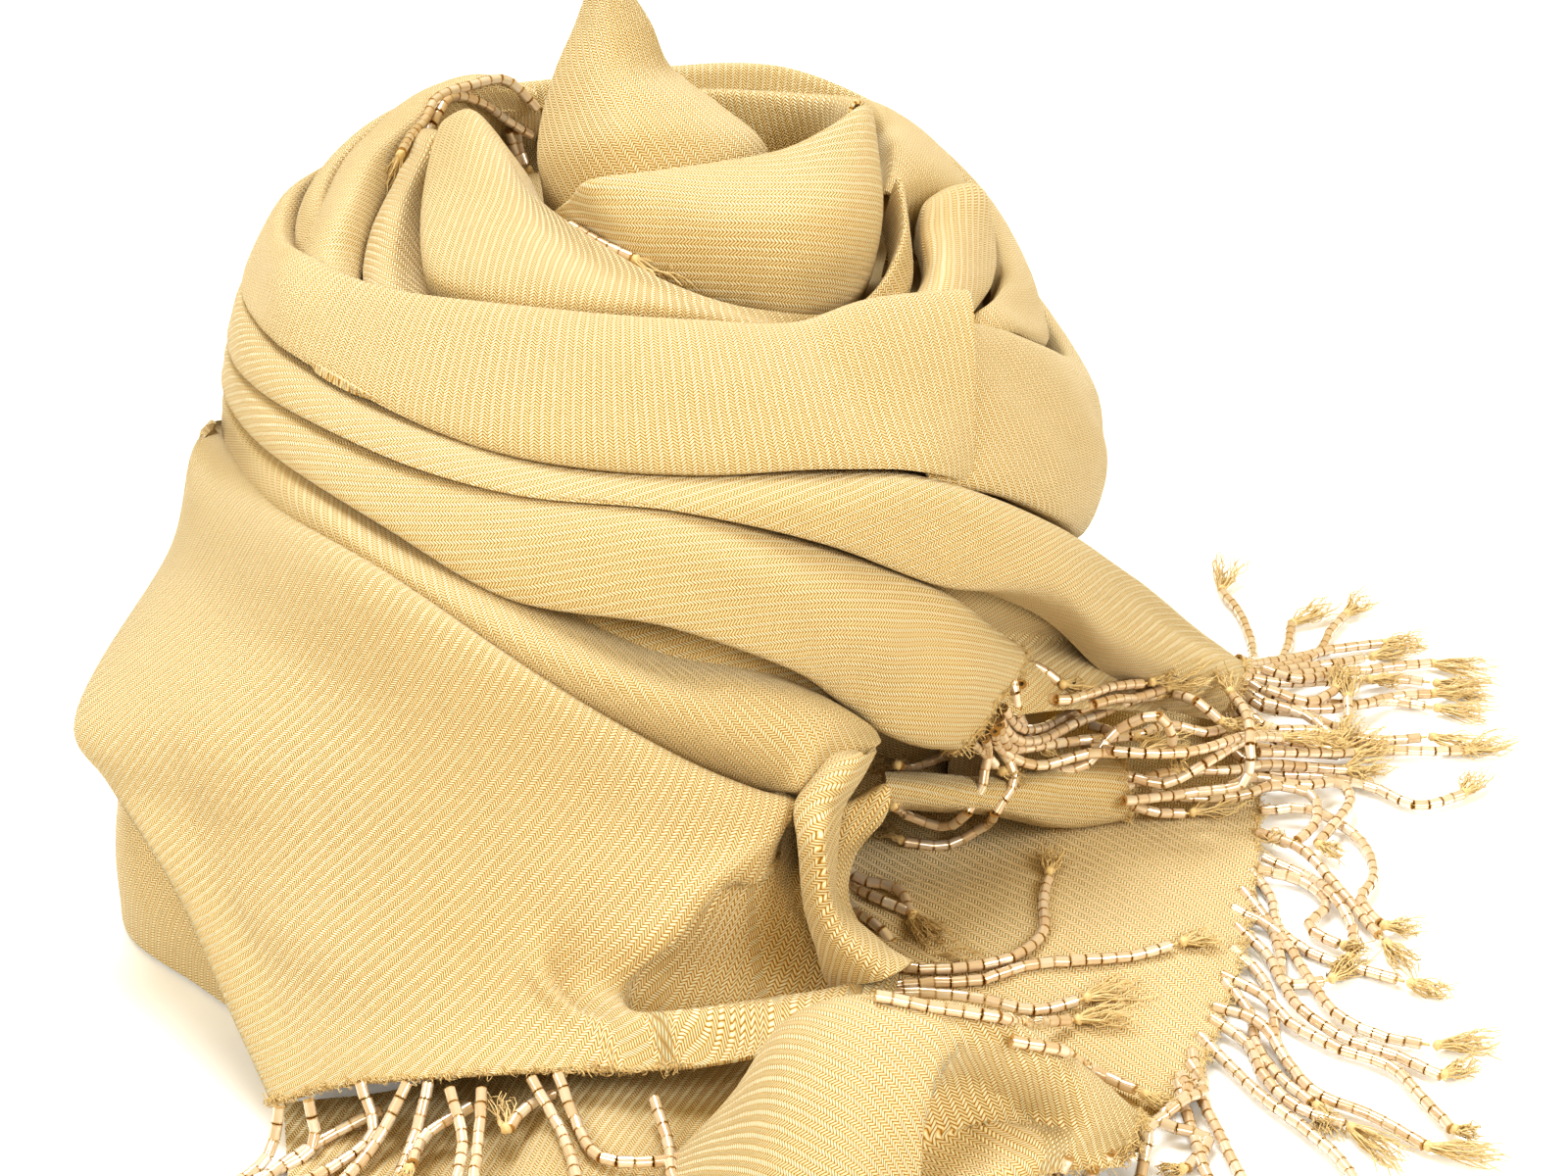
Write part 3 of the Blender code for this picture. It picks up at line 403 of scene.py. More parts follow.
def beadMaterial(look):
    # silver-lined glass: each bead has its own share of dusky, and painted shade darkens it where beads
    # meet
    material, tree, shader = newMaterial("champagneBeads", look["settings"])
    split = tree.nodes.new("ShaderNodeSeparateXYZ")
    tree.links.new(clothPlaces(tree), split.inputs[0])
    ends = mathNode(tree, "PINGPONG", split.outputs[0], 0.5)  # 0 at a bead's ends, 0.5 halfway
    # painted shade: full at a bead's very end, gone a ninth of its length in
    endShade = mathNode(tree, "SUBTRACT", 1.0, mathNode(tree, "MULTIPLY", ends, look["endShadeGain"]))
    glass = blendColours(tree, split.outputs[1], look["glass"], look["dusky"])
    colour = blendColours(tree, mathNode(tree, "MAXIMUM", endShade, 0.0), glass, look["edge"])
    tree.links.new(colour, shader.inputs["Base Color"])
    return material


threadFinish = {
    "light": (0.96, 0.84, 0.56), "deep": (0.72, 0.50, 0.22), "fibreScale": 2600.0,
    "bumpDepth": 0.0001, "bumpStrength": 0.5, "settings": {"Roughness": 0.6, "Sheen Weight": 0.3},
}


def threadMaterial(look):
    # gold sewing thread: fine streaks of light and deep gold
    material, tree, shader = newMaterial("goldThread", look["settings"])
    places = tree.nodes.new("ShaderNodeTexCoord")
    streaks = noiseNode(tree, places.outputs["Object"], look["fibreScale"], 1.0)
    colour = blendColours(tree, streaks, look["deep"], look["light"])
    tree.links.new(colour, shader.inputs["Base Color"])
    addBump(tree, shader, streaks, look["bumpStrength"], look["bumpDepth"])
    return material


goldTwill = clothMaterial("goldTwill", clothFinish, twillGroup(twillWeave))
beadGlass = beadMaterial(beadFinish)
goldThread = threadMaterial(threadFinish)
print("materials made")


# beaded strings: each row is one string and holds the points x, y, z that it passes, in turn, from
# the cloth's edge over its knot to the tip of its tuft
floorStrings = (
    (129, -56, 3, 139, -57, 4, 147, -62, 2, 150, -72, 2,
     149, -83, 2.5, 145, -92, 3, 148, -102, 3, 156, -101, 2),
    (127, -65, 3, 135, -73, 4, 140, -84, 3, 144, -96, 2.5, 148, -107, 2, 152, -116, 2),
    (127, -75, 3, 135, -81, 2, 139, -91, 4, 142, -101, 2, 140, -112, 2, 136, -118, 2),
    (125, -80, 3, 134, -83, 2, 138, -92, 2, 133, -101, 2, 139, -108, 2, 143, -111, 4),
    (124, -79, 2, 127, -89, 1.3, 127, -100, 1.3, 132, -109, 1.3,
     141, -115, 1.3, 150, -121, 2, 158, -126, 2),
    (121, -88, 3, 125, -98, 1.3, 126, -109, 1.3, 126, -121, 1.5, 135, -120, 2, 143, -111, 2),
    (118, -95, 3, 126, -102, 2, 129, -113, 2, 131, -123, 2,
     134, -132, 2, 142, -140, 2, 152, -143, 2, 164, -142, 2),
    (118, -102, 3, 123, -111, 2, 125, -122, 2, 127, -132, 3,
     134, -140, 2, 143, -146, 2, 151, -153, 2, 158, -148, 2),
    (116, -110, 3, 121, -118, 1.3, 122, -129, 1.3, 121, -140, 1.3,
     123, -151, 1.3, 126, -162, 1.3, 128, -169, 2),
    (113, -120, 3, 120, -127, 3, 125, -136, 2, 133, -144, 2,
     142, -150, 2, 146, -160, 2, 150, -170, 2, 154, -172, 3),
    (113, -122, 3, 117, -130, 1.3, 117, -142, 1.3, 120, -152, 1.3, 126, -162, 1.3, 128, -172, 2),
    (110, -131, 3, 118, -138, 4, 122, -149, 2.5, 126, -159, 2.5, 136, -166, 2, 144, -175, 2, 157, -179, 2),
    (109, -135, 3, 115, -142, 2, 117, -153, 2, 122, -163, 2, 131, -169, 2, 140, -180, 2),
    (106, -141, 3, 111, -150, 2, 116, -160, 2, 122, -169, 2, 127, -178, 2, 130, -188, 2, 133, -194, 2),
    (104, -146, 3, 104, -158, 2, 106, -170, 2, 108, -181, 2, 111, -193, 2, 114, -199, 2),
    (103, -150, 3, 105, -158, 3, 100, -165, 5, 93, -172, 4, 89, -180, 7, 85, -192, 14),
    (101, -154, 3, 101, -163, 5, 95, -170, 4, 104, -173, 2, 99, -181, 1.3, 94, -182, 1.3),
    (100, -156, 3, 101, -167, 2, 102, -179, 2, 103, -189, 1.3, 105, -195, 1.3),
)
upperStrings = (
    (131, 3, 9, 135, 10, 4, 137, 20, 2, 137, 31, 2, 136, 41, 2, 133, 52, 2, 137, 65, 4),
    (131, 2, 8, 138, 8, 4, 143, 15, 2.5, 146, 24, 2, 148, 34, 2, 158, 44, 2),
    (131, -1, 9, 138, 6, 5, 146, 12, 3, 153, 20, 2, 157, 30, 2, 162, 39, 2, 169, 47, 3),
    (131, -2, 10, 138, 7, 6, 147, 15, 3, 157, 21, 2, 169, 24, 2, 179, 25, 2),
    (131, -4, 10, 138, 2, 6, 147, 8, 4, 156, 12, 3, 165, 17, 2, 174, 20, 2),
    (131, -3, 9, 141, 0, 6, 150, 4, 5, 160, 8, 3, 169, 12, 2, 179, 14, 2, 193, 10, 2),
    (130, -5, 9, 139, -5, 7, 149, -1, 5, 158, 3, 3, 168, 6, 2, 178, 4, 2, 191, 0, 2),
    (130, -6, 9, 138, -12, 7, 148, -11, 5, 157, -10, 4, 166, -5, 2, 176, -8, 2, 188, -12, 2),
    (129, -9, 9, 136, -17, 8, 147, -16, 6, 157, -12, 5, 165, -5, 3, 176, -3, 3, 189, 1, 2),
    (129, -11, 9, 134, -19, 8, 143, -20, 7, 152, -23, 5, 154, -14, 8, 156, 0, 8),
    (128, -11, 9, 129, -22, 10, 134, -30, 9, 143, -29, 8,
     153, -27, 5, 162, -25, 3, 172, -23, 3, 182, -28, 3),
    (127, -10, 8, 129, -22, 8, 134, -33, 8, 145, -33, 6,
     156, -29, 3, 168, -28, 2, 179, -28, 2, 190, -23, 2),
    (126, -12, 8, 127, -24, 8, 129, -36, 8, 138, -37, 7, 149, -35, 5, 160, -26, 5),
    (125, -14, 8, 124, -25, 7, 126, -37, 6, 133, -43, 5, 144, -41, 3,
     155, -44, 2, 164, -52, 2, 175, -47, 2, 180, -39, 3),
    (129, -46, 12, 141, -41, 9, 152, -36, 6, 161, -30, 5),
    (126, -47, 9, 138, -42, 6, 150, -40, 4, 156, -42, 3),
    (133, -23, 12, 143, -24, 9, 149, -33, 7, 154, -24, 8),
    (135, -15, 11, 145, -16, 8, 152, -10, 8, 155, -2, 9),
    (136, -2, 9, 143, -5, 8, 152, 0, 6, 162, 2, 4, 170, 4, 3),
)
middleStrings = (
    (74, -67, 46, 79, -67, 44, 83, -68, 41, 89, -64, 38),
    (74, -77, 46, 77, -68, 39, 82, -73, 40, 89, -65, 37, 96, -56, 34, 104, -49, 31, 111, -46, 32),
    (72, -76, 47, 73, -78, 42, 74, -75, 37, 77, -71, 29, 83, -69, 24),
    (70, -82, 43, 74, -76, 35, 79, -69, 31, 85, -60, 29, 89, -65, 34,
     95, -60, 33, 101, -52, 29, 108, -46, 28, 118, -36, 27),
    (69, -84, 42, 73, -79, 34, 79, -72, 30, 86, -64, 29,
     93, -57, 28, 100, -53, 29, 106, -46, 26, 115, -41, 26),
    (68, -88, 41, 70, -80, 32, 78, -76, 26, 89, -71, 26, 100, -69, 25, 112, -61, 24),
    (69, -85, 41, 72, -79, 32, 80, -71, 28, 90, -65, 26, 100, -60, 24, 106, -60, 23),
    (67, -86, 41, 69, -79, 33, 73, -80, 26, 69, -86, 21, 67, -79, 13, 59, -80, 9, 50, -80, 10, 47, -78, 11),
    (66, -89, 40, 67, -83, 32, 66, -85, 27, 63, -88, 22, 58, -84, 16,
     51, -83, 18, 49, -91, 24, 47, -99, 30, 46, -86, 24),
    (63, -91, 40, 66, -84, 34, 70, -80, 27, 73, -80, 26),
    (62, -91, 40, 60, -82, 33, 56, -74, 26, 51, -82, 29, 48, -91, 35, 46, -79, 27),
    (77, -73, 22, 89, -70, 23, 95, -67, 29, 104, -69, 34, 108, -66, 24, 109, -68, 20),
    (89, -64, 24, 96, -72, 27, 106, -71, 26, 115, -65, 24, 121, -58, 22,
     127, -49, 18, 133, -42, 14, 143, -39, 11, 150, -38, 11),
    (91, -55, 24, 99, -60, 24, 108, -55, 24, 116, -53, 21, 123, -46, 19, 130, -41, 16),
    (110, -47, 27, 114, -52, 28, 119, -53, 24, 122, -52, 22),
)
smallRollStrings = (
    (97, -64, 17, 106, -68, 17, 115, -66, 21, 121, -58, 20, 127, -50, 18, 134, -43, 14, 146, -39, 12),
    (97, -72, 15, 105, -67, 13, 114, -63, 12, 124, -62, 14,
     125, -59, 22, 125, -49, 24, 123, -39, 23, 122, -32, 25),
    (97, -67, 15, 105, -61, 15, 114, -56, 13, 123, -52, 11,
     131, -46, 9, 140, -42, 6, 149, -40, 4, 161, -36, 5),
    (97, -67, 12, 105, -65, 8, 113, -62, 6, 125, -56, 7),
    (104, -59, 9, 114, -59, 8, 124, -58, 8, 132, -52, 7,
     140, -52, 5, 140, -62, 4, 134, -70, 3, 129, -67, 4),
    (121, -56, 9, 128, -50, 8, 138, -50, 6, 148, -46, 4,
     149, -52, 4, 145, -61, 4, 139, -70, 3, 144, -74, 3),
)
flapStrings = (
    (36, -87, 14, 38, -94, 9, 43, -103, 11, 51, -108, 10, 55, -119, 10),
    (36, -91, 14, 40, -96, 11, 48, -100, 11, 51, -110, 10, 57, -117, 10),
    (35, -98, 12, 39, -105, 9, 44, -113, 10, 50, -118, 5, 63, -122, 9),
    (41, -120, 9, 49, -126, 9, 61, -126, 9, 71, -122, 9, 77, -114, 9, 78, -102, 9, 80, -91, 9, 81, -81, 9),
    (42, -132, 8, 53, -130, 8, 64, -129, 8, 73, -124, 8,
     84, -122, 8, 95, -119, 7, 105, -114, 7, 112, -110, 6),
    (42, -135, 9, 53, -135, 9, 63, -137, 9, 74, -138, 7, 84, -134, 7, 96, -127, 6),
    (41, -186, 43, 52, -187, 41, 63, -187, 39, 67, -180, 33, 69, -171, 27,
     71, -163, 21, 73, -154, 15, 75, -145, 9, 82, -140, 6, 93, -137, 6),
    (65, -190, 36, 74, -187, 32, 77, -179, 25, 79, -171, 18,
     81, -163, 12, 84, -157, 6, 93, -163, 5, 98, -166, 4),
)
hemStrings = (
    (-63, -173, 11, -62, -176, 3, -70, -183, 1.3, -80, -189, 1.3,
     -91, -189, 2, -99, -195, 2, -106, -204, 2),
    (-54, -169, 12, -51, -174, 5, -57, -182, 3, -65, -189, 3, -74, -194, 1.3, -81, -197, 2),
    (-45, -169, 12, -50, -177, 5, -56, -188, 3, -63, -198, 3, -67, -203, 2),
    (-41, -169, 12, -43, -176, 6, -45, -186, 4, -47, -197, 2.5,
     -48, -208, 1.3, -52, -218, 1.3, -56, -226, 1.3),
    (-50, -169, 6, -59, -172, 2.5, -66, -179, 2, -72, -187, 1.3, -75, -193, 2),
    (-37, -171, 12, -34, -180, 8, -34, -190, 7, -35, -201, 5,
     -34, -212, 2.5, -34, -223, 1.3, -37, -231, 1.3),
    (-31, -171, 12, -31, -180, 8, -31, -191, 7, -31, -202, 5,
     -27, -212, 2.5, -25, -223, 1.3, -25, -232, 1.3),
    (-33, -171, 8, -41, -177, 6, -43, -187, 6, -45, -193, 4),
    (-22, -169, 13, -17, -177, 9, -14, -186, 9, -12, -196, 9, -11, -206, 7, -10, -209, 7),
    (-17, -169, 14, -13, -178, 9, -8, -188, 9, 3, -189, 9, 12, -183, 7, 21, -180, 2, 25, -180, 1.3),
    (-18, -168, 9, -23, -173, 9, -26, -179, 8, -28, -171, 10),
    (1, -174, 12, 4, -184, 9, 5, -194, 9, 8, -205, 6, 8, -215, 3, 8, -226, 1.3, 8, -235, 1.3),
    (-68, -175, 11, -70, -179, 3, -77, -188, 1.3, -82, -197, 1.3,
     -84, -208, 1.3, -89, -218, 1.3, -94, -225, 1.3),
)
foregroundStrings = (
    (77, -183, 11, 76, -191, 12, 75, -199, 16, 74, -192, 8, 73, -191, 2.5, 74, -201, 1.3, 76, -210, 1.3),
    (84, -181, 10, 81, -189, 9, 80, -196, 12, 79, -190, 3, 77, -199, 1.3, 75, -209, 1.3, 74, -218, 1.3),
    (89, -178, 9, 85, -186, 11, 83, -193, 13, 81, -187, 4, 80, -196, 1.5, 83, -206, 1.3, 86, -215, 1.3),
    (92, -178, 8, 90, -186, 2.5, 87, -196, 1.3, 89, -206, 1.3, 90, -217, 1.3, 88, -227, 1.3, 87, -236, 1.3),
    (70, -188, 11, 66, -194, 4, 64, -204, 2, 63, -214, 1.3, 59, -224, 1.3, 56, -234, 1.3, 53, -242, 1.3),
    (62, -191, 10, 61, -198, 10, 60, -208, 15, 58, -217, 13, 56, -227, 10, 52, -236, 7, 46, -248, 1.3),
)
topStrings = (
    (-32, 56, 125, -39, 53, 133, -46, 46, 134, -53, 37, 134,
     -55, 27, 132, -57, 17, 132, -58, 6, 132, -63, 1, 120),
    (-34, 60, 117, -40, 55, 123, -44, 48, 129, -50, 41, 133, -53, 32, 131, -58, 28, 123, -61, 23, 111),
    (-39, 58, 119, -38, 59, 113, -36, 57, 107, -34, 56, 105),
    (-37, 58, 119, -37, 60, 114, -35, 59, 109, -33, 57, 104),
    (-19, -36, 131, -12, -44, 130, -5, -50, 129, 5, -54, 124),
)

fringe = {
    "beadLength": 3.05, "beadPitch": 3.2, "beadRadius": 1.15, "hole": 0.45, "holeDepth": 0.25, "sides": 8,
    "step": 0.8, "lean": 0.05, "threadRadius": 0.32, "threadSides": 5,
    "knotRadius": 1.1, "knotLobes": 0.16, "knotSides": 10, "knotRings": 6,
    "fibres": 30, "fibreSteps": 7, "fibreRadius": 0.18, "fibreSpread": 0.34, "fibreWave": 0.9,
    "fibreReach": (0.65, 1.1), "fibreTurns": (0.7, 1.8), "lowest": 0.35, "seed": 5,
}


def evenPath(points, spacing):
    # the smooth curve through the points, read at places that are evenly far apart
    fine = smoothRun(points, 40 * len(points))
    run = np.concatenate([[0.0], np.cumsum(np.linalg.norm(np.diff(fine, axis=0), axis=1))])
    places = np.arange(0, run[-1], spacing)
    return np.stack([np.interp(places, run, fine[:, axis]) for axis in range(3)], axis=1)


def sideFrames(ahead):
    # two unit directions square to each heading, the first of them level
    first = np.cross(ahead, (0.0, 0.0, 1.0))
    first /= np.maximum(np.linalg.norm(first, axis=-1, keepdims=True), 1e-6)
    return first, np.cross(first, ahead)


def tubeAlong(path, radii, sides):
    # a tube round the path: each point plus its radius times a ring of cos first + sin second
    ahead = np.gradient(path, axis=0)
    ahead /= np.maximum(np.linalg.norm(ahead, axis=1, keepdims=True), 1e-9)
    first, second = sideFrames(ahead)
    turns = np.linspace(0, 2 * np.pi, sides, endpoint=False)[None, :, None]
    ring = np.cos(turns) * first[:, None] + np.sin(turns) * second[:, None]
    points = (path[:, None] + np.reshape(radii, (-1, 1, 1)) * ring).reshape(-1, 3)
    index = np.arange(len(path) * sides).reshape(-1, sides)
    return points, ringFaces(index)[:, ::-1]


def beadShape(look):
    # a tube with flat ends and a hole: rings of radius and place along the bead
    half, hole, radius = look["beadLength"] / 2, look["hole"], look["beadRadius"]
    rings = np.array([
        (hole, look["holeDepth"] - half), (hole, -half), (radius, -half),
        (radius, half), (hole, half), (hole, half - look["holeDepth"]),
    ])
    turns = np.linspace(0, 2 * np.pi, look["sides"], endpoint=False)
    points = np.stack([
        rings[:, :1] * np.cos(turns), rings[:, :1] * np.sin(turns), rings[:, 1:] + 0 * turns,
    ], axis=-1)
    index = np.arange(points[..., 0].size).reshape(points.shape[:2])
    return points.reshape(-1, 3), ringFaces(index)


def makeFringe(name, strings, nodes, look):
    # every string: a thread along its path, beads threaded on it, a knot and a frayed tuft;
    # a bead's point = its centre + x side + y up + z ahead
    rng = np.random.default_rng(look["seed"] + len(strings))
    starts, ends, threads = [], [], []
    pitch = int(look["beadPitch"] / look["step"])
    for string in strings:
        points = np.reshape(string, (-1, 3)).astype(float)
        path = evenPath(points[:-1], look["step"])
        tuftWay = points[-1] - path[-1]
        starts.append(path[:-pitch:pitch])
        ends.append(path[pitch::pitch])
        radii = np.full(len(path[::2]), look["threadRadius"])
        threads.append(tubeAlong(path[::2], radii, look["threadSides"]))
        threads.append(knotShape(path[-1], tuftWay, rng, look))
        threads.append(tuftShape(path[-1], tuftWay, rng, look))
    starts, ends = np.concatenate(starts), np.concatenate(ends)
    centres = (starts + ends) / 2
    ahead = ends - starts + rng.normal(0, look["lean"] * look["beadPitch"], starts.shape) * (1, 1, 0.3)
    ahead /= np.linalg.norm(ahead, axis=1, keepdims=True)
    first, second = sideFrames(ahead)
    roll = rng.uniform(0, np.pi / 3, (len(centres), 1))
    side = np.cos(roll) * first + np.sin(roll) * second
    axes = np.stack([side, np.cross(ahead, side), ahead], axis=1)
    bead, beadFaces = beadShape(look)
    points = (centres[:, None] + bead @ axes).reshape(-1, 3)
    faces = (beadFaces + (np.arange(len(centres)) * len(bead))[:, None, None]).reshape(-1, 4)
    along = bead[:, 2] / look["beadLength"] + 0.5
    tone = rng.uniform(0, 1, len(centres))
    flat = np.stack([np.tile(along, len(centres)), np.repeat(tone, len(bead))], axis=1) / mm
    beads = meshPiece(name + "Beads", points, faces.tolist(), beadGlass, flat)
    beads.data.set_sharp_from_angle(angle=math.radians(60))  # crisp ends, round sides
    firsts = np.cumsum([0] + [len(points) for points, faces in threads[:-1]])
    faces = np.concatenate([faces + first for (points, faces), first in zip(threads, firsts)])
    points = np.concatenate([points for points, faces in threads])
    thread = meshPiece(name + "Thread", points, faces.tolist(), goldThread)
    for piece in (beads, thread):
        standFor(piece, nodes)
    return [beads, thread]


def knotShape(place, way, rng, look):
    # a ball with three lobes wound round it: radius (1 + lobes sin(3 turn + 2 rise)), resting on
    # the ground or above it
    size = look["knotRadius"]
    turns, rise = np.meshgrid(
        np.linspace(0, 2 * np.pi, look["knotSides"], endpoint=False),
        np.linspace(-np.pi / 2, np.pi / 2, look["knotRings"] + 2)[1:-1],
    )
    wound = 3 * turns + 2 * rise + rng.uniform(0, 2 * np.pi)
    radius = size * (1 + look["knotLobes"] * np.sin(wound))
    ball = np.stack([np.cos(turns) * np.cos(rise), np.sin(turns) * np.cos(rise), np.sin(rise)], axis=-1)
    ball = (ball * radius[..., None]).reshape(-1, 3)
    centre = place + way / max(np.linalg.norm(way), 1e-6) * size * 0.6
    centre[2] = max(centre[2], size)
    index = np.arange(len(ball)).reshape(turns.shape)
    index = np.pad(index, ((1, 1), (0, 0)), constant_values=((len(ball), len(ball) + 1), (0, 0)))
    poles = [[0, 0, -size], [0, 0, size]]  # each stands for a whole ring of points
    return centre + np.concatenate([ball, poles]), ringFaces(index)


def fibreTubes(paths, radii):
    # three-sided tubes round many paths at once: each point plus its radius times a turning unit ring
    ahead = np.gradient(paths, axis=1)
    ahead /= np.linalg.norm(ahead, axis=2, keepdims=True)
    one, two = sideFrames(ahead)
    turns = np.linspace(0, 2 * np.pi, 3, endpoint=False)[:, None]
    ring = np.cos(turns) * one[:, :, None] + np.sin(turns) * two[:, :, None]
    points = (paths[:, :, None] + radii[None, :, None, None] * ring).reshape(-1, 3)
    index = np.arange(len(points)).reshape(*paths.shape[:2], 3)
    return points, ringFaces(index)[:, ::-1]


def tuftShape(place, way, rng, look):
    # fibres from the knot to the tip: place + ahead * share * reach + aside * spread * bulge + wave,
    # where each fibre leaves on its own line, waves as it goes, and thins out
    count = look["fibres"]
    length = max(np.linalg.norm(way), 5.0)
    forward = way / max(np.linalg.norm(way), 1e-6)
    first, second = sideFrames(forward[None])
    share = np.linspace(0, 1, look["fibreSteps"])[None, :, None]
    spin = rng.uniform(0, 2 * np.pi, (count, 1, 1))
    spread = rng.uniform(0.1, 1.0, (count, 1, 1)) ** 0.7 * look["fibreSpread"] * length
    reach = rng.uniform(*look["fibreReach"], (count, 1, 1)) * length
    aside = np.cos(spin) * first + 0.6 * np.sin(spin) * second  # a tuft is wider than it is high
    phase = rng.uniform(0, 2 * np.pi, (count, 1, 3))
    turns = share * rng.uniform(*look["fibreTurns"], (count, 1, 3))
    wave = look["fibreWave"] * share * np.sin(phase + 2 * np.pi * turns)
    bulge = 0.9 * share + 0.1 * np.sin(np.pi * share)
    paths = place + forward * share * reach + aside * (0.5 + spread * bulge) + wave
    paths[..., 2] = np.maximum(paths[..., 2], look["lowest"])
    return fibreTubes(paths, look["fibreRadius"] * (1.25 - 0.6 * share[0, :, 0]))


floorFringe = makeFringe("floorFringe", floorStrings, ["fringe_floor"], fringe)
upperFringe = makeFringe("upperFringe", upperStrings, ["fringe_upper", "fringe_upper_inner"], fringe)
middleFringe = makeFringe("middleFringe", middleStrings, ["fringe_middle"], fringe)
rollFringe = makeFringe("rollFringe", smallRollStrings, ["fringe_small_roll"], fringe)
flapFringe = makeFringe("flapFringe", flapStrings, ["fringe_flap_right"], fringe)
hemFringe = makeFringe("hemFringe", hemStrings, ["fringe_hem", "fringe_hem_left"], fringe)
foregroundFringe = makeFringe("foregroundFringe", foregroundStrings, ["fringe_foreground"], fringe)
topFringe = makeFringe("topFringe", topStrings, ["fringe_top_left"], fringe)
print("fringes made")

creaseColumns = "u v toU toV depth width"
frayColumns = "edge start stop count length"
frayLook = {
    "fibreRadius": 0.11, "steps": 6, "lean": 1.1, "lift": 0.35, "curl": 0.45,
    "inside": 0.8, "shortest": 0.4, "longest": 1.3, "lowest": 0.3, "taper": (1.2, 0.7),
}


def frayEdges(name, outer, rows, seed, nodes):
    # loose ends of the weave along an edge: each starts just inside it, leans along it and curls;
    # a place on its way is start + share * way + curl * sin(pi * share)
    rng = np.random.default_rng(seed)
    share = np.linspace(0, 1, frayLook["steps"])[None, :, None]
    paths = []
    for row in rows:
        edge, inside = (outer[-1], outer[-3]) if row.edge == "end" else (outer[:, -1], outer[:, -3])
        places = rng.uniform(row.start, row.stop, row.count) * (len(edge) - 1)
        low = np.minimum(places.astype(int), len(edge) - 2)
        part = (places - low)[:, None]
        start = edge[low] * (1 - part) + edge[low + 1] * part
        away = edge[low] - inside[low]
        away /= np.linalg.norm(away, axis=1, keepdims=True)
        along = edge[low + 1] - edge[low]
        along /= np.linalg.norm(along, axis=1, keepdims=True)
        way = away + rng.normal(0, frayLook["lean"], (row.count, 1)) * along
        way += rng.normal(0, frayLook["lift"], (row.count, 1)) * np.cross(along, away)
        lengths = row.length * rng.uniform(frayLook["shortest"], frayLook["longest"], (row.count, 1))
        way *= lengths / np.linalg.norm(way, axis=1, keepdims=True)
        curl = row.length * frayLook["curl"] * rng.normal(0, 1, (row.count, 3))
        start = (start - frayLook["inside"] * away)[:, None]
        paths.append(start + share * way[:, None] + np.sin(np.pi * share) * curl[:, None])
    paths = np.concatenate(paths)
    paths[..., 2] = np.maximum(paths[..., 2], frayLook["lowest"])
    radii = frayLook["fibreRadius"] * np.linspace(*frayLook["taper"], frayLook["steps"])
    points, faces = fibreTubes(paths, radii)
    standFor(meshPiece(name, points, faces.tolist(), goldThread), nodes)


def makeCloth(name, look):
    # a thin shell: the surface through the sections plus its relief on the outer side, and its back
    # one thickness in; ribs lie on the cloth's own flat measure
    grid = clothGrid(look["sections"], look["spacing"] * coarser)
    flat = flatPlaces(grid)
    relief = unevenness(flat, look["seed"], look["swellSize"], look["swell"])
    relief += creaseRelief(flat, look.get("creases", ())) + hollowRelief(flat, look.get("hollows", ()))
    outer = grid + relief[..., None] * outSides(grid)
    inner = outer - look["thickness"] * outSides(outer)
    ribs = ribPlaces(settledPlaces(flatPlaces(outer, flat[:, :1, 1]), outer), look).reshape(-1, 2)
    points = np.concatenate([outer.reshape(-1, 3), inner.reshape(-1, 3)])
    faces = shellFaces(*grid.shape[:2]).tolist()
    piece = meshPiece(name, points, faces, goldTwill, np.concatenate([ribs, ribs]))
    piece.data.set_sharp_from_angle(angle=math.radians(55))
    standFor(piece, look["nodes"])
    if "fray" in look:
        frayEdges(name + "Fray", outer, look["fray"], look["seed"] + 60, look["nodes"])


foldIn = 7.0  # how far a folded edge turns in under its band
rollIn = 3.0  # how far a rolled edge goes in behind its band
rollDown = 5.5  # and how far down


def bandSections(rows):
    # top and low edges turned in level, towards the heap's axis
    return [[
        around(row.turn, row.topR - foldIn, row.topZ), around(row.turn, row.topR, row.topZ),
        around(row.turn, row.crownR, row.crownZ), around(row.turn, row.lowR, row.lowZ),
        around(row.turn, row.lowR - foldIn, row.lowZ),
    ] for row in rows]


def rolledIn(row):
    # where the upper edge ends, rolled over and down on the inner side
    return around(row.turn, row.topR - rollIn, row.topZ - rollDown)


def ringSections(rows):
    # the upper edge rolled in, the low edge turned in level
    return [[
        rolledIn(row), around(row.turn, row.topR, row.topZ),
        around(row.turn, row.crownR, row.crownZ), around(row.turn, row.lowR, row.lowZ),
        around(row.turn, row.lowR - foldIn, row.lowZ),
    ] for row in rows]


def pairSections(rows):
    # the columns after the turn are pairs of radius and height
    return [[around(row[0], row[i], row[i + 1]) for i in range(1, len(row), 2)] for row in rows]


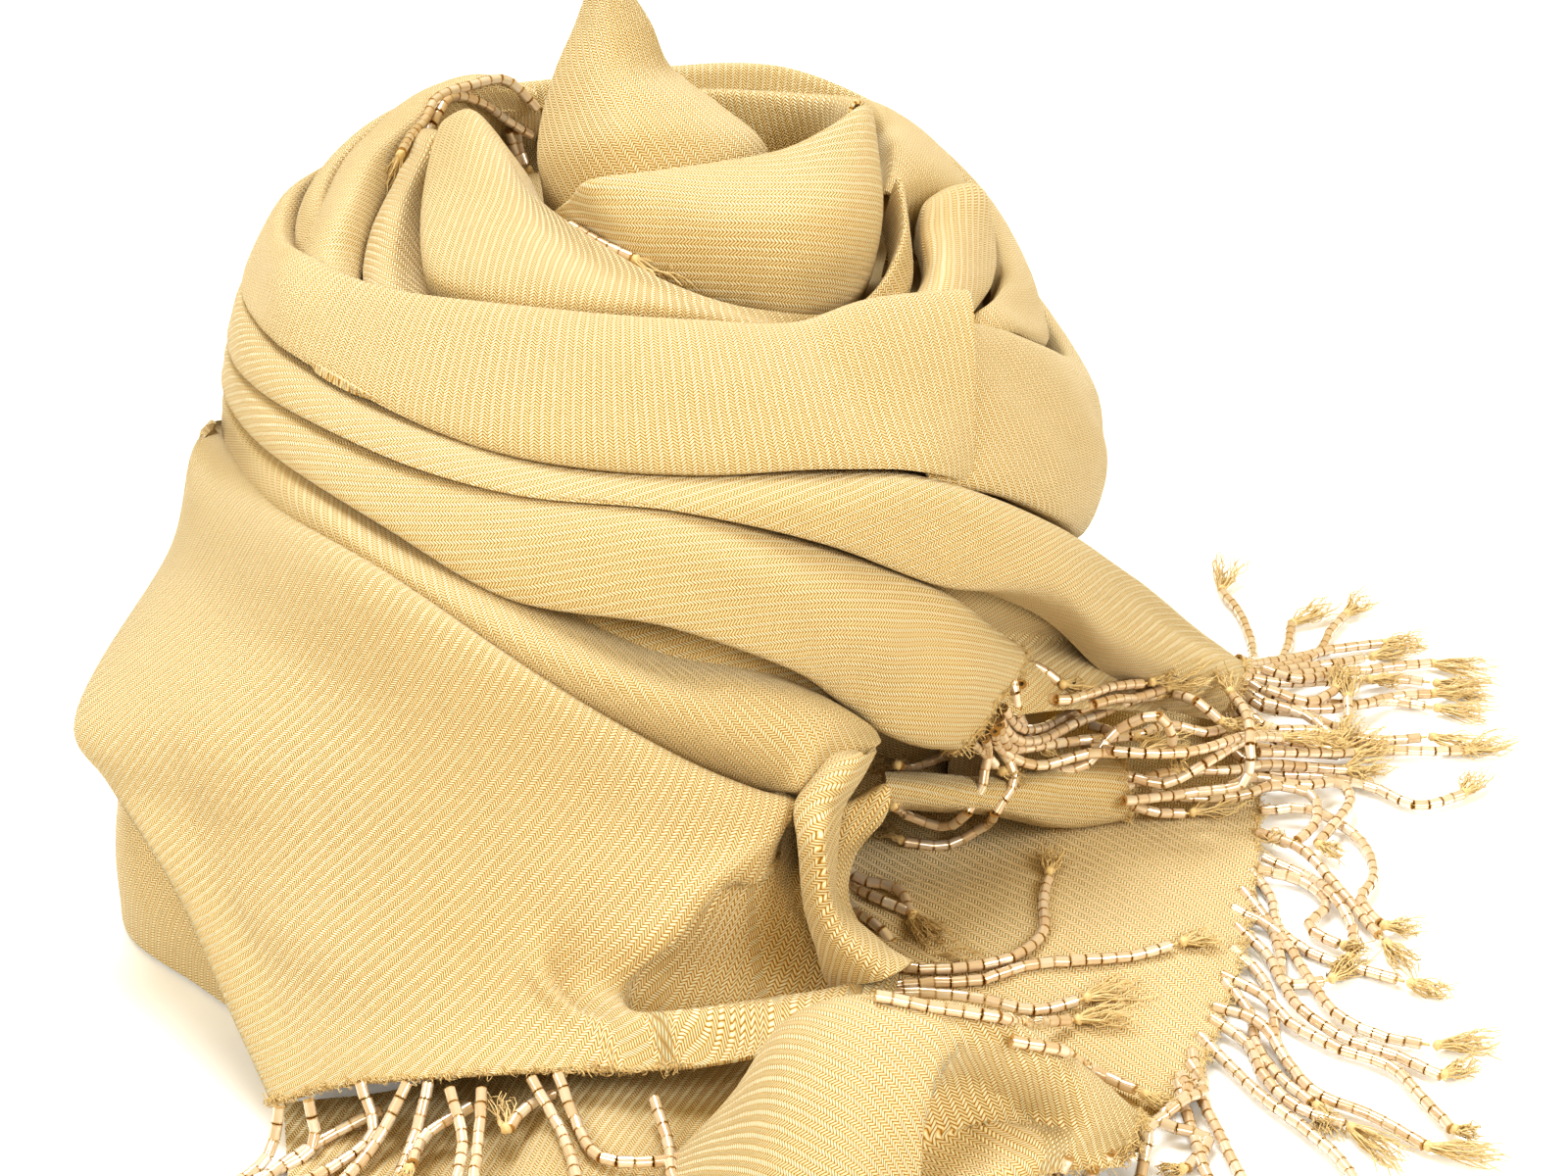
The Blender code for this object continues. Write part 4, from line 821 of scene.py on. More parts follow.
wideBandRows = table(
    "turn topR topZ crownR crownZ lowR lowZ",
    (-112, 81.0, 121.0, 88.5, 112.0, 89.0, 104.4),
    (-95, 82.0, 122.0, 89.5, 114.0, 90.5, 107.2),
    (-76, 82.0, 120.8, 91.0, 115.0, 92.0, 109.4),
    (-60, 79.0, 123.0, 91.0, 116.5, 93.5, 110.6),
    (-40, 75.5, 125.0, 88.5, 116.5, 94.5, 108.8),
    (-16, 71.0, 125.5, 87.5, 115.0, 95.0, 103.8),
    (5, 72.0, 124.5, 87.5, 114.0, 95.0, 102.0),
    (22, 73.0, 123.0, 88.5, 112.0, 96.0, 100.0),
    (34, 75.5, 125.5, 90.0, 108.0, 97.5, 95.5),
)
wideBand = {
    "sections": ringSections(wideBandRows) + [[
        around(51, 76.5, 117.5), around(51, 79.8, 122.3), around(43.8, 91.3, 104.6),
        around(39.8, 97.2, 90.5), around(39.8, 90.2, 90.5),
    ]],
    "spacing": 1.5, "thickness": 0.9, "ribTurn": -8,
    "seed": 11, "swell": 0.45, "swellSize": 60,
    "creases": table(
        creaseColumns,
        (0.20, 0.45, 0.33, 0.75, -1.6, 5.0),
        (0.27, 0.30, 0.40, 0.62, 1.0, 6.0),
        (0.36, 0.70, 0.55, 0.80, -0.9, 6.0),
        (0.62, 0.35, 0.80, 0.50, 0.8, 9.0),
        (0.86, 0.30, 0.90, 0.80, -0.8, 5.0),
    ),
    "nodes": ["wide_band"], "restsOn": ["hidden_layers"],
}
makeCloth("wideBand", wideBand)

rightBandRows = table(
    "turn topR topZ crownR crownZ lowR lowZ",
    (34, 76.0, 119.0, 88.0, 106.0, 95.5, 92.5),
    (43.0, 79.0, 119.0, 91.0, 103.0, 97.8, 86.8),
    (55, 81.5, 113.3, 94.0, 93.0, 99.5, 74.0),
    (67, 85.5, 103.0, 97.0, 82.0, 95.0, 60.0),
    (80, 86.5, 93.0, 97.5, 73.0, 91.5, 51.0),
    (95, 86.0, 88.0, 97.8, 69.5, 94.5, 49.0),
    (115, 84.5, 94.0, 94.5, 76.0, 93.5, 58.0),
    (140, 83.5, 107.0, 92.5, 91.0, 91.5, 74.0),
    (165, 83.0, 114.0, 91.0, 101.5, 89.5, 87.0),
    (190, 82.0, 118.0, 89.5, 107.0, 89.0, 94.0),
    (220, 81.5, 120.0, 89.0, 110.0, 89.0, 101.0),
    (247.6, 81.0, 121.0, 88.5, 112.0, 89.0, 104.4),
)
rightBand = {
    "sections": ringSections(rightBandRows), "spacing": 1.7, "thickness": 0.9, "ribTurn": -25,
    "seed": 12, "swell": 0.5, "swellSize": 70,
    "creases": table(
        creaseColumns,
        (0.05, 0.40, 0.16, 0.70, 1.0, 7.0),
        (0.20, 0.35, 0.32, 0.65, -1.5, 7.0),
        (0.45, 0.40, 0.60, 0.55, -1.4, 6.0),
        (0.72, 0.60, 0.86, 0.45, -1.2, 6.0),
    ),
    "nodes": ["right_band"], "restsOn": ["hidden_layers"],
}
makeCloth("rightBand", rightBand)

# three bands below: each comes round from the right back to the front
upperBandTurns = table(
    "turn topR topZ crownR crownZ lowR lowZ",
    (-255, 79.5, 50.3, 83.5, 43.0, 81.5, 36.0),
    (-240, 87.5, 58.8, 92.0, 50.0, 90.0, 41.5),
    (-215, 89.5, 75.2, 94.0, 65.0, 92.5, 54.0),
    (-190, 88.0, 86.8, 93.0, 77.0, 91.0, 66.5),
    (-165, 87.5, 93.6, 92.5, 84.0, 91.0, 74.5),
    (-140, 88.0, 99.6, 92.5, 91.0, 91.5, 82.5),
    (-112, 89.0, 103.4, 94.0, 97.0, 93.0, 91.0),
    (-90, 91.0, 107.2, 95.0, 101.5, 95.0, 96.0),
    (-63, 94.0, 109.6, 98.0, 106.0, 98.5, 102.2),
    (-41, 95.5, 107.8, 100.5, 105.5, 101.3, 103.4),
    (-27, 95.8, 105.4, 101.0, 103.3, 102.3, 101.3),
    (-15, 95.8, 102.9, 101.3, 101.0, 102.4, 99.3),
    (3, 95.8, 101.2, 101.0, 99.5, 102.4, 97.3),
    (19, 97.0, 99.2, 102.5, 95.0, 103.3, 88.5),
    (33, 99.3, 94.4, 104.3, 85.5, 104.8, 74.4),
)
upperBandTail = table(
    "behind top crown low under",
    ((71, -63, 78), (77, -68, 80), (78, -75, 75), (78, -77, 68), (76, -67, 58)),
    ((93, -36, 48), (99, -42, 53), (97, -55, 55), (95, -62, 49), (92, -54, 37)),
    ((110, -16, 24), (117, -22, 29), (114, -35, 34), (112, -43, 31), (108, -40, 20)),
    ((124, -2, 8), (130, -8, 13), (129, -17, 17), (127, -25, 16), (123, -27, 9)),
)
upperBand = {
    "sections": bandSections(upperBandTurns) + upperBandTail,
    "spacing": 1.5, "thickness": 0.9, "ribTurn": 60,
    "seed": 13, "swell": 0.4, "swellSize": 55,
    "creases": table(
        creaseColumns,
        (0.12, 0.45, 0.25, 0.60, -1.2, 5.0),
        (0.40, 0.60, 0.50, 0.45, -1.0, 5.0),
        (0.86, 0.35, 0.97, 0.30, 0.8, 7.0),
        (0.90, 0.50, 0.99, 0.48, -0.8, 5.0),
    ),
    "fringe": upperFringe,
    "fray": table(frayColumns, ("end", 0.0, 1.0, 140, 2.2)),
    "nodes": ["upper_band"], "restsOn": ["hidden_layers", "floor"],
}
makeCloth("upperBand", upperBand)

# what shows under the upper band's tail: the cloth turns in and comes forward again
tailLiningRows = table(
    "top upper valley lower foot",
    ((52.5, -84, 75), (53.6, -84, 68.5), (54.7, -82, 60.7), (55.8, -86, 51.6), (56.4, -89, 43.6)),
    ((67.3, -70, 65), (68.4, -70, 59.5), (70.1, -67, 52.1), (71.5, -75, 47.3), (72.5, -80, 40.3)),
    ((80.5, -58, 53.8), (82.3, -57, 49.2), (84.2, -53, 43.6), (84.8, -63, 40.8), (85.6, -70, 36.6)),
    ((94.7, -44, 40.6), (95.9, -43, 37.7), (97.3, -39, 33.8), (97.9, -49, 32.2), (98, -56, 28.2)),
    ((107.3, -31, 28.8), (108.3, -31, 26.4), (109.6, -28, 22.3), (109.5, -34, 20.6), (109.7, -38, 17.3)),
)
tailLining = {
    "sections": tailLiningRows, "spacing": 1.4, "thickness": 0.8, "ribTurn": 62,
    "seed": 34, "swell": 0.4, "swellSize": 22,
    "nodes": ["upper_band"], "restsOn": ["upperBand"],
}
makeCloth("tailLining", tailLining)

middleBandTurns = table(
    "turn topR topZ crownR crownZ lowR lowZ",
    (-255, 80.0, 33.6, 84.0, 25.0, 83.0, 17.5),
    (-240, 88.5, 40.5, 93.0, 31.0, 92.0, 21.5),
    (-215, 91.0, 52.5, 96.0, 41.0, 95.0, 28.5),
    (-190, 89.8, 64.9, 95.5, 50.5, 94.5, 35.5),
    (-165, 89.8, 72.9, 95.0, 60.0, 93.5, 46.0),
    (-140, 90.0, 81.2, 95.0, 70.5, 94.0, 59.5),
    (-112, 92.0, 90.0, 96.0, 82.0, 95.5, 74.0),
    (-90, 93.8, 95.0, 96.5, 89.5, 96.3, 84.0),
    (-64, 97.3, 101.1, 100.0, 97.0, 99.5, 92.0),
    (-42, 100.3, 102.4, 106.3, 98.8, 106.3, 94.6),
    (-28, 101.3, 100.3, 108.0, 96.0, 110.0, 90.8),
    (-15, 101.4, 98.3, 109.5, 91.5, 113.0, 82.6),
    (2, 101.4, 96.3, 109.5, 89.0, 113.5, 78.3),
    (14, 102.0, 89.8, 110.3, 82.0, 112.5, 66.5),
)
middleBandTail = table(
    "behind top crown low under",
    ((40.6, -87, 80.8), (43.5, -93.3, 80.8), (45, -101, 71.5), (38.2, -104, 55.2), (35.2, -97, 52.9)),
    ((53.5, -82, 71), (58.5, -86, 70.6), (53, -98, 64), (45.4, -103.5, 49.4), (42.3, -98, 47.7)),
    ((63, -74, 59), (68.5, -79, 59), (63, -92, 56), (54, -100, 44.5), (50.3, -95, 42.3)),
    ((70, -67, 50), (75, -71, 50), (69, -84, 46), (61.4, -95.5, 41.5), (57.3, -90, 38.6)),
)
middleBand = {
    "sections": bandSections(middleBandTurns) + middleBandTail,
    "spacing": 1.5, "thickness": 0.9, "ribTurn": 70,
    "seed": 14, "swell": 0.45, "swellSize": 60,
    "creases": table(
        creaseColumns,
        (0.15, 0.45, 0.28, 0.60, -1.3, 6.0),
        (0.42, 0.55, 0.52, 0.40, -1.1, 5.0),
        (0.78, 0.30, 0.95, 0.55, 0.9, 8.0),
        (0.84, 0.55, 0.99, 0.70, -0.9, 6.0),
    ),
    "fringe": middleFringe,
    "fray": table(frayColumns, ("end", 0.1, 1.0, 170, 2.2)),
    "nodes": ["middle_band"], "restsOn": ["hidden_layers"],
}
makeCloth("middleBand", middleBand)

rolledBandRows = table(
    "turn topR topZ crownR crownZ lowR lowZ",
    (-255, 81.5, 17.0, 86.0, 9.0, 85.0, 2.0),
    (-240, 90.5, 20.5, 95.5, 11.0, 94.5, 2.0),
    (-215, 93.5, 27.5, 99.5, 15.0, 98.5, 2.0),
    (-190, 93.0, 34.5, 99.0, 18.5, 98.5, 2.0),
    (-165, 92.2, 45.0, 98.5, 25.0, 98.0, 4.0),
    (-140, 92.5, 58.5, 98.5, 41.0, 97.0, 24.0),
    (-112, 94.0, 73.0, 98.0, 62.0, 96.5, 49.0),
    (-90, 94.8, 83.0, 98.0, 77.0, 97.0, 66.5),
    (-66, 98.5, 90.6, 100.5, 85.5, 99.5, 75.5),
    (-42, 105.0, 93.6, 110.0, 91.2, 109.0, 84.1),
    (-30, 108.7, 90.4, 115.0, 88.5, 112.5, 79.7),
    (-20, 112.0, 85.2, 118.5, 82.7, 115.1, 73.3),
    (-11, 114.0, 78.8, 120.8, 75.5, 117.0, 65.1),
    (0, 115.0, 70.5, 122.0, 67.0, 118.5, 54.5),
    (10, 115.0, 65.5, 122.5, 58.5, 119.5, 44.5),
)
rolledBandEnd = table(
    "topIn top crown low lowIn",
    ((26, -104, 62), (29.8, -110.5, 61.5), (30.5, -118, 57.5), (26.8, -123.4, 48), (25, -117, 44)),
    ((41.5, -104, 51.9), (43, -106, 51.7), (38, -114.5, 53.5), (31.5, -121, 46.7), (30, -117, 42.3)),
    ((42.8, -102, 48), (44.4, -105, 48.6), (41.5, -112.4, 49.8), (35, -118.5, 45.5), (32, -115, 41.5)),
)
rolledBand = {
    "sections": bandSections(rolledBandRows) + rolledBandEnd,
    "spacing": 1.5, "thickness": 0.9, "ribTurn": -48,
    "seed": 15, "swell": 0.4, "swellSize": 50,
    "creases": table(
        creaseColumns,
        (0.20, 0.40, 0.34, 0.62, -1.4, 6.0),
        (0.88, 0.35, 0.97, 0.55, 0.8, 5.0),
    ),
    "nodes": ["rolled_band"], "restsOn": ["hidden_layers", "floor"],
}
makeCloth("rolledBand", rolledBand)

innerFoldRows = table(
    "behind top low under",
    ((-24, -97, 78), (-22, -103, 80), (-22, -107, 73), (-20, -104, 66)),
    ((-6, -96, 75), (-5, -102, 76.5), (-4, -109, 68), (-4, -105, 60)),
    ((12, -94, 72), (13, -100, 73), (16, -108, 63), (15, -103, 55)),
    ((28, -90, 62), (30, -95, 62.5), (32, -104, 55), (30, -99, 47)),
    ((39, -85, 51), (41, -90, 51), (40, -99, 47), (37, -94, 41)),
)
innerFold = {
    "sections": innerFoldRows, "spacing": 1.3, "thickness": 0.8, "ribTurn": 66,
    "seed": 16, "swell": 0.5, "swellSize": 25,
    "nodes": ["inner_fold"], "restsOn": ["rolledBand"],
}
makeCloth("innerFold", innerFold)

frontFlapRows = table(
    "tuck top brow cheek waist skirt knee hem",
    ((-96.4, -12, 76.7), (-97.4, -30, 83.3), (-100.5, -48, 66), (-112, -79, 45),
     (-104, -98, 34), (-86, -125, 24), (-75, -146, 10), (-69, -162, 5)),
    ((-93.8, -18, 76.6), (-98.2, -41, 85.8), (-102.2, -62, 70), (-118, -92, 46),
     (-110, -105, 39), (-91, -132, 28), (-79, -152, 14), (-71, -168, 7)),
    ((-72, -73, 86), (-78, -80.5, 88), (-84, -95, 69), (-94, -112, 52),
     (-86, -124, 39), (-77, -138, 25), (-68, -153, 15), (-59, -168, 10)),
    ((-51, -99.8, 81.4), (-54, -105.6, 85.4), (-60, -114, 66), (-65, -126, 51),
     (-62, -135, 39), (-57, -145, 28), (-49, -156, 18), (-41, -168, 12)),
    ((-28.7, -112.3, 72.2), (-30.4, -118.8, 76.2), (-35, -127, 58), (-38, -136, 44),
     (-37, -143, 35), (-34, -150, 26), (-27, -158, 19), (-19, -168, 14)),
    ((-6.2, -118.3, 59.8), (-6.6, -125.2, 63.8), (-10, -134, 49), (-14, -142, 39),
     (-15, -147, 31), (-15, -153, 23), (-8, -160, 19), (-4, -168, 14)),
    ((11.1, -119.3, 49.4), (11.7, -126.2, 53.4), (10, -137, 43), (6, -144, 36),
     (5, -148, 30), (3, -148, 18), (7, -158, 19), (9, -168, 15)),
    ((25.7, -116.2, 41.6), (27.2, -123, 45.6), (27, -129, 41), (23, -138, 38),
     (21, -139, 31), (21, -140, 16), (23, -152, 17), (23, -164, 16)),
    ((35.6, -111.9, 38.2), (37.7, -118.4, 42.2), (36.5, -123.5, 36), (34, -128, 30),
     (35, -130, 25), (40, -134, 17), (42, -144, 17), (38, -158, 18)),
    ((42.7, -108.7, 40.5), (45.2, -115, 44.5), (45, -119.5, 40), (38.5, -124.5, 33),
     (37.5, -126.5, 26), (42, -131, 18), (47, -140, 15.5), (43, -154, 16)),
)
frontFlap = {
    "sections": frontFlapRows, "spacing": 1.4, "thickness": 0.9, "ribCentre": (-74, -105),
    "seed": 17, "swell": 0.7, "swellSize": 75,
    "creases": table(
        creaseColumns,
        (0.3, 0.371, 0.62, 0.568, -1.2, 16),
        (0.2, 0.658, 0.42, 0.82, 1.2, 12),
        (0.632, 0.622, 0.622, 0.838, 1.8, 3.2),  # the lip that curls up beside the hollow
        (0.668, 0.622, 0.655, 0.856, -3.2, 3.4),
        (0.86, 0.155, 0.695, 0.784, 1.4, 3.5),  # the fold along the hollow's left side
        (0.68, 0.901, 0.9, 0.883, 1.6, 5),
    ),
    "hollows": [
        (-6.0, (
            (0.895, 0.061, 2.6), (0.7, 0.838, 9), (0.79, 0.892, 7), (0.965, 0.82, 4), (0.965, 0.137, 4),
        )),
    ],
    "fringe": hemFringe + flapFringe,
    "fray": table(frayColumns, ("hem", 0.05, 0.76, 420, 1.6)),
    "nodes": ["front_flap"], "restsOn": ["hidden_layers", "floor"],
}
makeCloth("frontFlap", frontFlap)

# the edge of the cloth stands up beside the flap and curls over
foldedEdgeRows = table(
    "leftIn left crown right rightIn",
    ((37.8, -108, 47.5), (36.9, -113.5, 50.8), (39.9, -114.5, 50.8), (42.8, -109, 48.4), (42.3, -104, 45)),
    ((33.8, -113, 48.2), (34.3, -119, 52.1), (37.9, -120, 52.9), (42.3, -113, 51.1), (41.7, -107, 47.8)),
    ((31.1, -117, 45.6), (31.4, -124, 50), (35, -125.5, 51.3), (39.3, -118, 48.4), (38.5, -112, 44.9)),
    ((28.8, -121, 42.7), (28.4, -128, 46.9), (31.9, -130, 48.3), (36.4, -123, 45.9), (35.6, -117, 42.3)),
    ((29.2, -126, 39.3), (28.5, -133, 43.5), (31.5, -135.5, 45.3), (35, -128, 43.8), (34.4, -121, 39.6)),
    ((30.1, -129, 32.2), (29.3, -136, 36.6), (32.1, -138.5, 39.3), (34.3, -131, 36.4), (33.6, -124, 32)),
    ((30.9, -130, 26.3), (30.1, -137, 30.8), (32.5, -140, 33.2), (34.5, -132.5, 30.4), (33.8, -126, 26.3)),
    ((31.9, -131, 21.1), (31.2, -138, 25.7), (34.4, -141.5, 27.9), (37.3, -135, 26), (36.7, -128, 21)),
    ((33.2, -132, 16.3), (32.7, -139, 20.9), (37.2, -143.5, 24.8), (41.3, -137, 22.8), (40.7, -130, 17.5)),
    ((34.6, -133, 12.9), (33.9, -139.5, 17.4), (40, -145, 22), (44.8, -139, 20.7), (44.4, -132, 15.2)),
    ((36.1, -134, 9.9), (36, -140, 14.4), (42.8, -146, 19.3), (49.1, -141, 19.3), (48.7, -134, 13.5)),
)
foldedEdge = {
    "sections": foldedEdgeRows, "spacing": 1.0, "thickness": 0.9, "ribTurn": 40,
    "seed": 33, "swell": 0.5, "swellSize": 16,
    "nodes": ["front_flap"], "restsOn": ["frontFlap", "rolledBand"],
}
makeCloth("foldedEdge", foldedEdge)

leftUnderlayerRows = table(
    "top crown low hem",
    ((-52, 78, 14), (-54, 84, 10), (-55, 87, 6), (-56, 89, 1)),
    ((-76, 60, 24), (-82, 64, 16), (-84, 66, 8), (-86, 68, 1)),
    ((-94, 30, 46), (-102, 33, 32), (-105, 35, 14), (-107, 36, 1)),
    ((-98, 0, 64), (-108, -2, 44), (-112, -3, 20), (-115, -4, 1)),
    ((-95, -24, 74), (-107, -34, 46), (-115, -42, 20), (-118, -45, 1)),
    ((-95, -48, 66), (-106, -72, 40), (-114, -78, 20), (-116, -81, 1)),
    ((-90, -72, 58), (-103, -96, 32), (-110, -99, 16), (-110, -102, 1)),
    ((-80, -94, 50), (-89, -112, 26), (-93, -117, 12), (-91, -121, 1)),
    ((-66, -112, 40), (-74, -128, 20), (-78, -134, 9), (-76, -138, 1)),
)
leftUnderlayer = {
    "sections": leftUnderlayerRows, "spacing": 1.8, "thickness": 0.9, "ribTurn": 8,
    "seed": 18, "swell": 0.9, "swellSize": 45,
    "nodes": ["left_underlayer"], "restsOn": ["floor"],
}
makeCloth("leftUnderlayer", leftUnderlayer)

rightUnderlayerRows = table(
    "turn topR topZ crownR crownZ lowR lowZ",
    (44, 86.3, 60, 87.3, 30, 88.0, 1.2),
    (58, 85.8, 52, 86.8, 28, 88.0, 1.2),
    (75, 85.2, 45, 86.2, 24, 87.0, 1.2),
    (92, 84.4, 44, 84.9, 24, 85.4, 1.2),
    (107, 83.9, 44, 84.0, 24, 84.0, 1.2),
)
rightUnderlayer = {
    "sections": pairSections(rightUnderlayerRows), "spacing": 1.8, "thickness": 0.8, "ribTurn": 8,
    "seed": 19, "swell": 0.7, "swellSize": 35,
    "nodes": ["right_underlayer"], "restsOn": ["floor"],
}
makeCloth("rightUnderlayer", rightUnderlayer)

floorLayerRows = table(
    "rear back middle front",
    ((34, -58, 15), (32, -82, 12), (32, -115, 9), (38, -148, 5)),
    ((62, -34, 9), (60, -60, 8), (58, -112, 8.5), (56, -160, 3.5)),
    ((89, -14, 5), (87, -45, 6.5), (86, -108, 7), (76, -165, 2.6)),
    ((117, -8, 3.0), (115, -42, 4.0), (110, -106, 4.5), (94, -166, 2.4)),
    ((131, -16, 2.4), (130, -46, 2.6), (119, -108, 2.6), (103, -159, 2.4)),
)
floorLayer = {
    "sections": floorLayerRows, "spacing": 1.3, "thickness": 0.8, "ribTurn": -45, "weaveSize": 1.22,
    "seed": 20, "swell": 0.5, "swellSize": 45,
    "creases": table(
        creaseColumns,
        (0.05, 0.15, 0.60, 0.30, 2.0, 7.0),
        (0.10, 0.38, 0.55, 0.45, -1.0, 7.0),
        (0.40, 0.70, 0.90, 0.62, 0.7, 9.0),
    ),
    "fringe": floorFringe,
    "fray": table(frayColumns, ("end", 0.0, 1.0, 420, 1.9)),
    "nodes": ["floor_layer"], "restsOn": ["floor"], "held": "laid",
}
makeCloth("floorLayer", floorLayer)

smallRollRows = table(
    "behind top crown low under",
    ((45.2, -86, 28.8), (45.6, -92, 34.2), (45.8, -97.5, 34.2), (46.1, -98, 30.6), (45.9, -92, 25.4)),
    ((72, -70, 18.3), (72.2, -77, 24.3), (72.2, -83, 23.8), (72.7, -84, 19.6), (72.4, -78, 14.1)),
    ((86.1, -60, 15.3), (86.6, -67, 21.6), (86.5, -74, 20.4), (86.8, -75, 11.8), (86.2, -69, 6.3)),
    ((97, -53, 13), (97.5, -59, 18.4), (98.2, -66, 16.9), (98.6, -69, 10.7), (98.6, -63, 4.6)),
)
smallRoll = {
    "sections": smallRollRows, "spacing": 1.2, "thickness": 0.8, "ribTurn": -84,
    "seed": 21, "swell": 0.4, "swellSize": 25,
    "fringe": rollFringe,
    "fray": table(frayColumns, ("end", 0.0, 1.0, 150, 1.9)),
    "nodes": ["small_roll"], "restsOn": ["floorLayer"],
}
makeCloth("smallRoll", smallRoll)

underHemRows = table(
    "back middle front",
    ((-69.8, -161.1, 1.6), (-67.4, -175.3, 1.4), (-60.6, -214.9, 1.4)),
    ((-50.2, -158.1, 1.8), (-46.9, -181.3, 1.6), (-42.9, -216.8, 1.5)),
    ((-31, -147, 2.0), (-28, -176, 1.8), (-26, -214, 2.0)),
    ((-18, -145, 7.0), (-16, -174, 7.4), (-14, -216, 4.0)),
    ((-3, -144.5, 7.4), (-3, -174, 7.7), (-4, -214, 4.0)),
    ((10, -144.5, 6.8), (10, -172, 6.0), (8, -204, 3.0)),
    ((22, -144.5, 3.0), (22, -168, 2.4), (20, -194, 2.0)),
)
underHem = {
    "sections": underHemRows, "spacing": 1.5, "thickness": 0.8, "ribTurn": 30,
    "seed": 22, "swell": 0.4, "swellSize": 30,
    "nodes": ["under_hem_layer"], "restsOn": ["floor"], "held": "laid",
}
makeCloth("underHem", underHem)

foregroundFlapRows = table(
    "heel back crest brow cheek toe",
    ((3, -178, 1.6), (3, -181, 2.2), (1, -187, 4), (0, -200, 4), (-1, -213, 3), (-1, -224, 1.6)),
    ((17, -171, 1.6), (16, -176, 12), (15, -184, 20), (14, -199, 19), (13, -214, 12), (12, -226, 1.6)),
    ((26, -170, 1.6), (26, -174, 20), (25, -182, 35), (25, -200, 34), (25, -216, 22), (25, -229, 1.6)),
    ((36, -170, 1.6), (36, -173, 22), (36, -182, 40), (36, -202, 38), (37, -219, 24), (38, -231, 1.6)),
    ((49, -170, 1.6), (49, -173, 22), (49, -183, 40), (47, -203, 35), (46, -216, 20), (47, -228, 2.2)),
    ((61, -171, 1.6), (61, -174, 20), (60, -184, 39), (56, -202, 28), (55, -209, 18), (55, -218, 10)),
    ((74, -172, 1.6), (73, -175, 16), (72, -184, 32), (67, -198, 26), (64, -203, 20), (62, -208, 15)),
    ((84, -174, 1.6), (83, -177, 12), (81, -184, 24), (77, -194, 21), (74, -198, 18), (72, -201, 15)),
    ((91, -177, 2.2), (91, -179, 7), (90, -183, 14), (88, -188, 13.5), (87, -190, 12), (86, -192, 10)),
)
foregroundFlap = {
    "sections": foregroundFlapRows, "spacing": 1.4, "thickness": 0.9, "ribTurn": -42,
    "seed": 23, "swell": 0.5, "swellSize": 50,
    "hollows": [
        (-11.5, (
            (0.62, 0.51, 4.5), (0.565, 0.66, 5.0), (0.575, 0.86, 8.0),
            (0.80, 0.97, 8.0), (0.94, 0.72, 5.0), (0.85, 0.49, 6.0),
        )),
    ],
    "fringe": foregroundFringe,
    "fray": table(frayColumns, ("hem", 0.0, 1.0, 300, 2.0), ("end", 0.0, 1.0, 160, 2.0)),
    "nodes": ["foreground_flap"], "restsOn": ["floor"],
}
makeCloth("foregroundFlap", foregroundFlap)

# upper rings and petals
outerRingRows = table(
    "turn topR topZ crownR crownZ lowR lowZ",
    (38, 70.0, 102.0, 73.0, 100.0, 75.0, 97.0),
    (50, 72.5, 108.0, 76.0, 106.0, 77.5, 102.5),
    (62, 75.5, 113.5, 79.5, 111.0, 80.5, 107.5),
    (72, 74.5, 112.0, 80.5, 106.5, 82.5, 100.6),
    (82, 73.5, 111.0, 80.5, 104.0, 83.0, 94.6),
    (95, 72.5, 112.5, 80.0, 104.0, 83.0, 93.2),
    (115, 72.5, 118.0, 79.5, 109.0, 82.0, 97.4),
    (140, 73.5, 126.0, 79.5, 119.0, 81.0, 109.4),
    (160, 73.5, 131.0, 79.0, 124.5, 80.5, 115.2),
    (185, 69.0, 130.5, 77.0, 126.5, 79.5, 119.4),
    (210, 70.5, 129.5, 76.5, 126.5, 79.0, 121.4),
    (232, 73.0, 131.5, 77.5, 127.5, 79.0, 122.4),
    (255, 73.5, 128.5, 77.5, 126.5, 79.0, 123.0),
    (270, 74.5, 125.5, 78.5, 123.5, 80.0, 119.0),
    (285, 73.5, 121.5, 78.0, 119.0, 80.0, 114.0),
    (300, 72.0, 116.5, 76.0, 114.0, 78.0, 109.0),
)
outerRing = {
    "sections": ringSections(outerRingRows), "spacing": 1.5, "thickness": 0.9, "ribTurn": 0,
    "seed": 24, "swell": 0.4, "swellSize": 50,
    "creases": table(
        creaseColumns,
        (0.10, 0.30, 0.22, 0.60, -1.0, 4.0),
        (0.55, 0.40, 0.70, 0.60, -1.0, 5.0),
    ),
    "nodes": ["outer_ring"], "restsOn": ["hidden_layers"],
}
makeCloth("outerRing", outerRing)

innerRingRows = table(
    "turn topR topZ crownR crownZ lowR lowZ footR footZ",
    (68, 49.5, 132.0, 52.0, 130.0, 52.0, 124.0, 50.0, 112.4),
    (76, 49.0, 133.5, 53.0, 131.0, 53.5, 125.0, 51.5, 112.4),
    (88, 48.5, 136.0, 56.5, 131.5, 61.0, 124.5, 59.0, 112.4),
    (100, 48.5, 136.5, 59.5, 130.0, 66.5, 121.5, 60.5, 112.4),
    (115, 50.5, 136.5, 59.5, 132.0, 66.5, 124.5, 60.5, 112.4),
    (135, 56.0, 133.0, 61.5, 130.0, 65.0, 125.0, 60.5, 112.4),
    (155, 53.0, 131.5, 57.5, 129.5, 60.5, 125.0, 60.0, 112.4),
    (176, 48.0, 132.0, 52.5, 130.0, 55.5, 125.0, 55.0, 112.4),
)
innerRingSections = pairSections(innerRingRows)
for row, section in zip(innerRingRows, innerRingSections):
    section.insert(0, rolledIn(row))
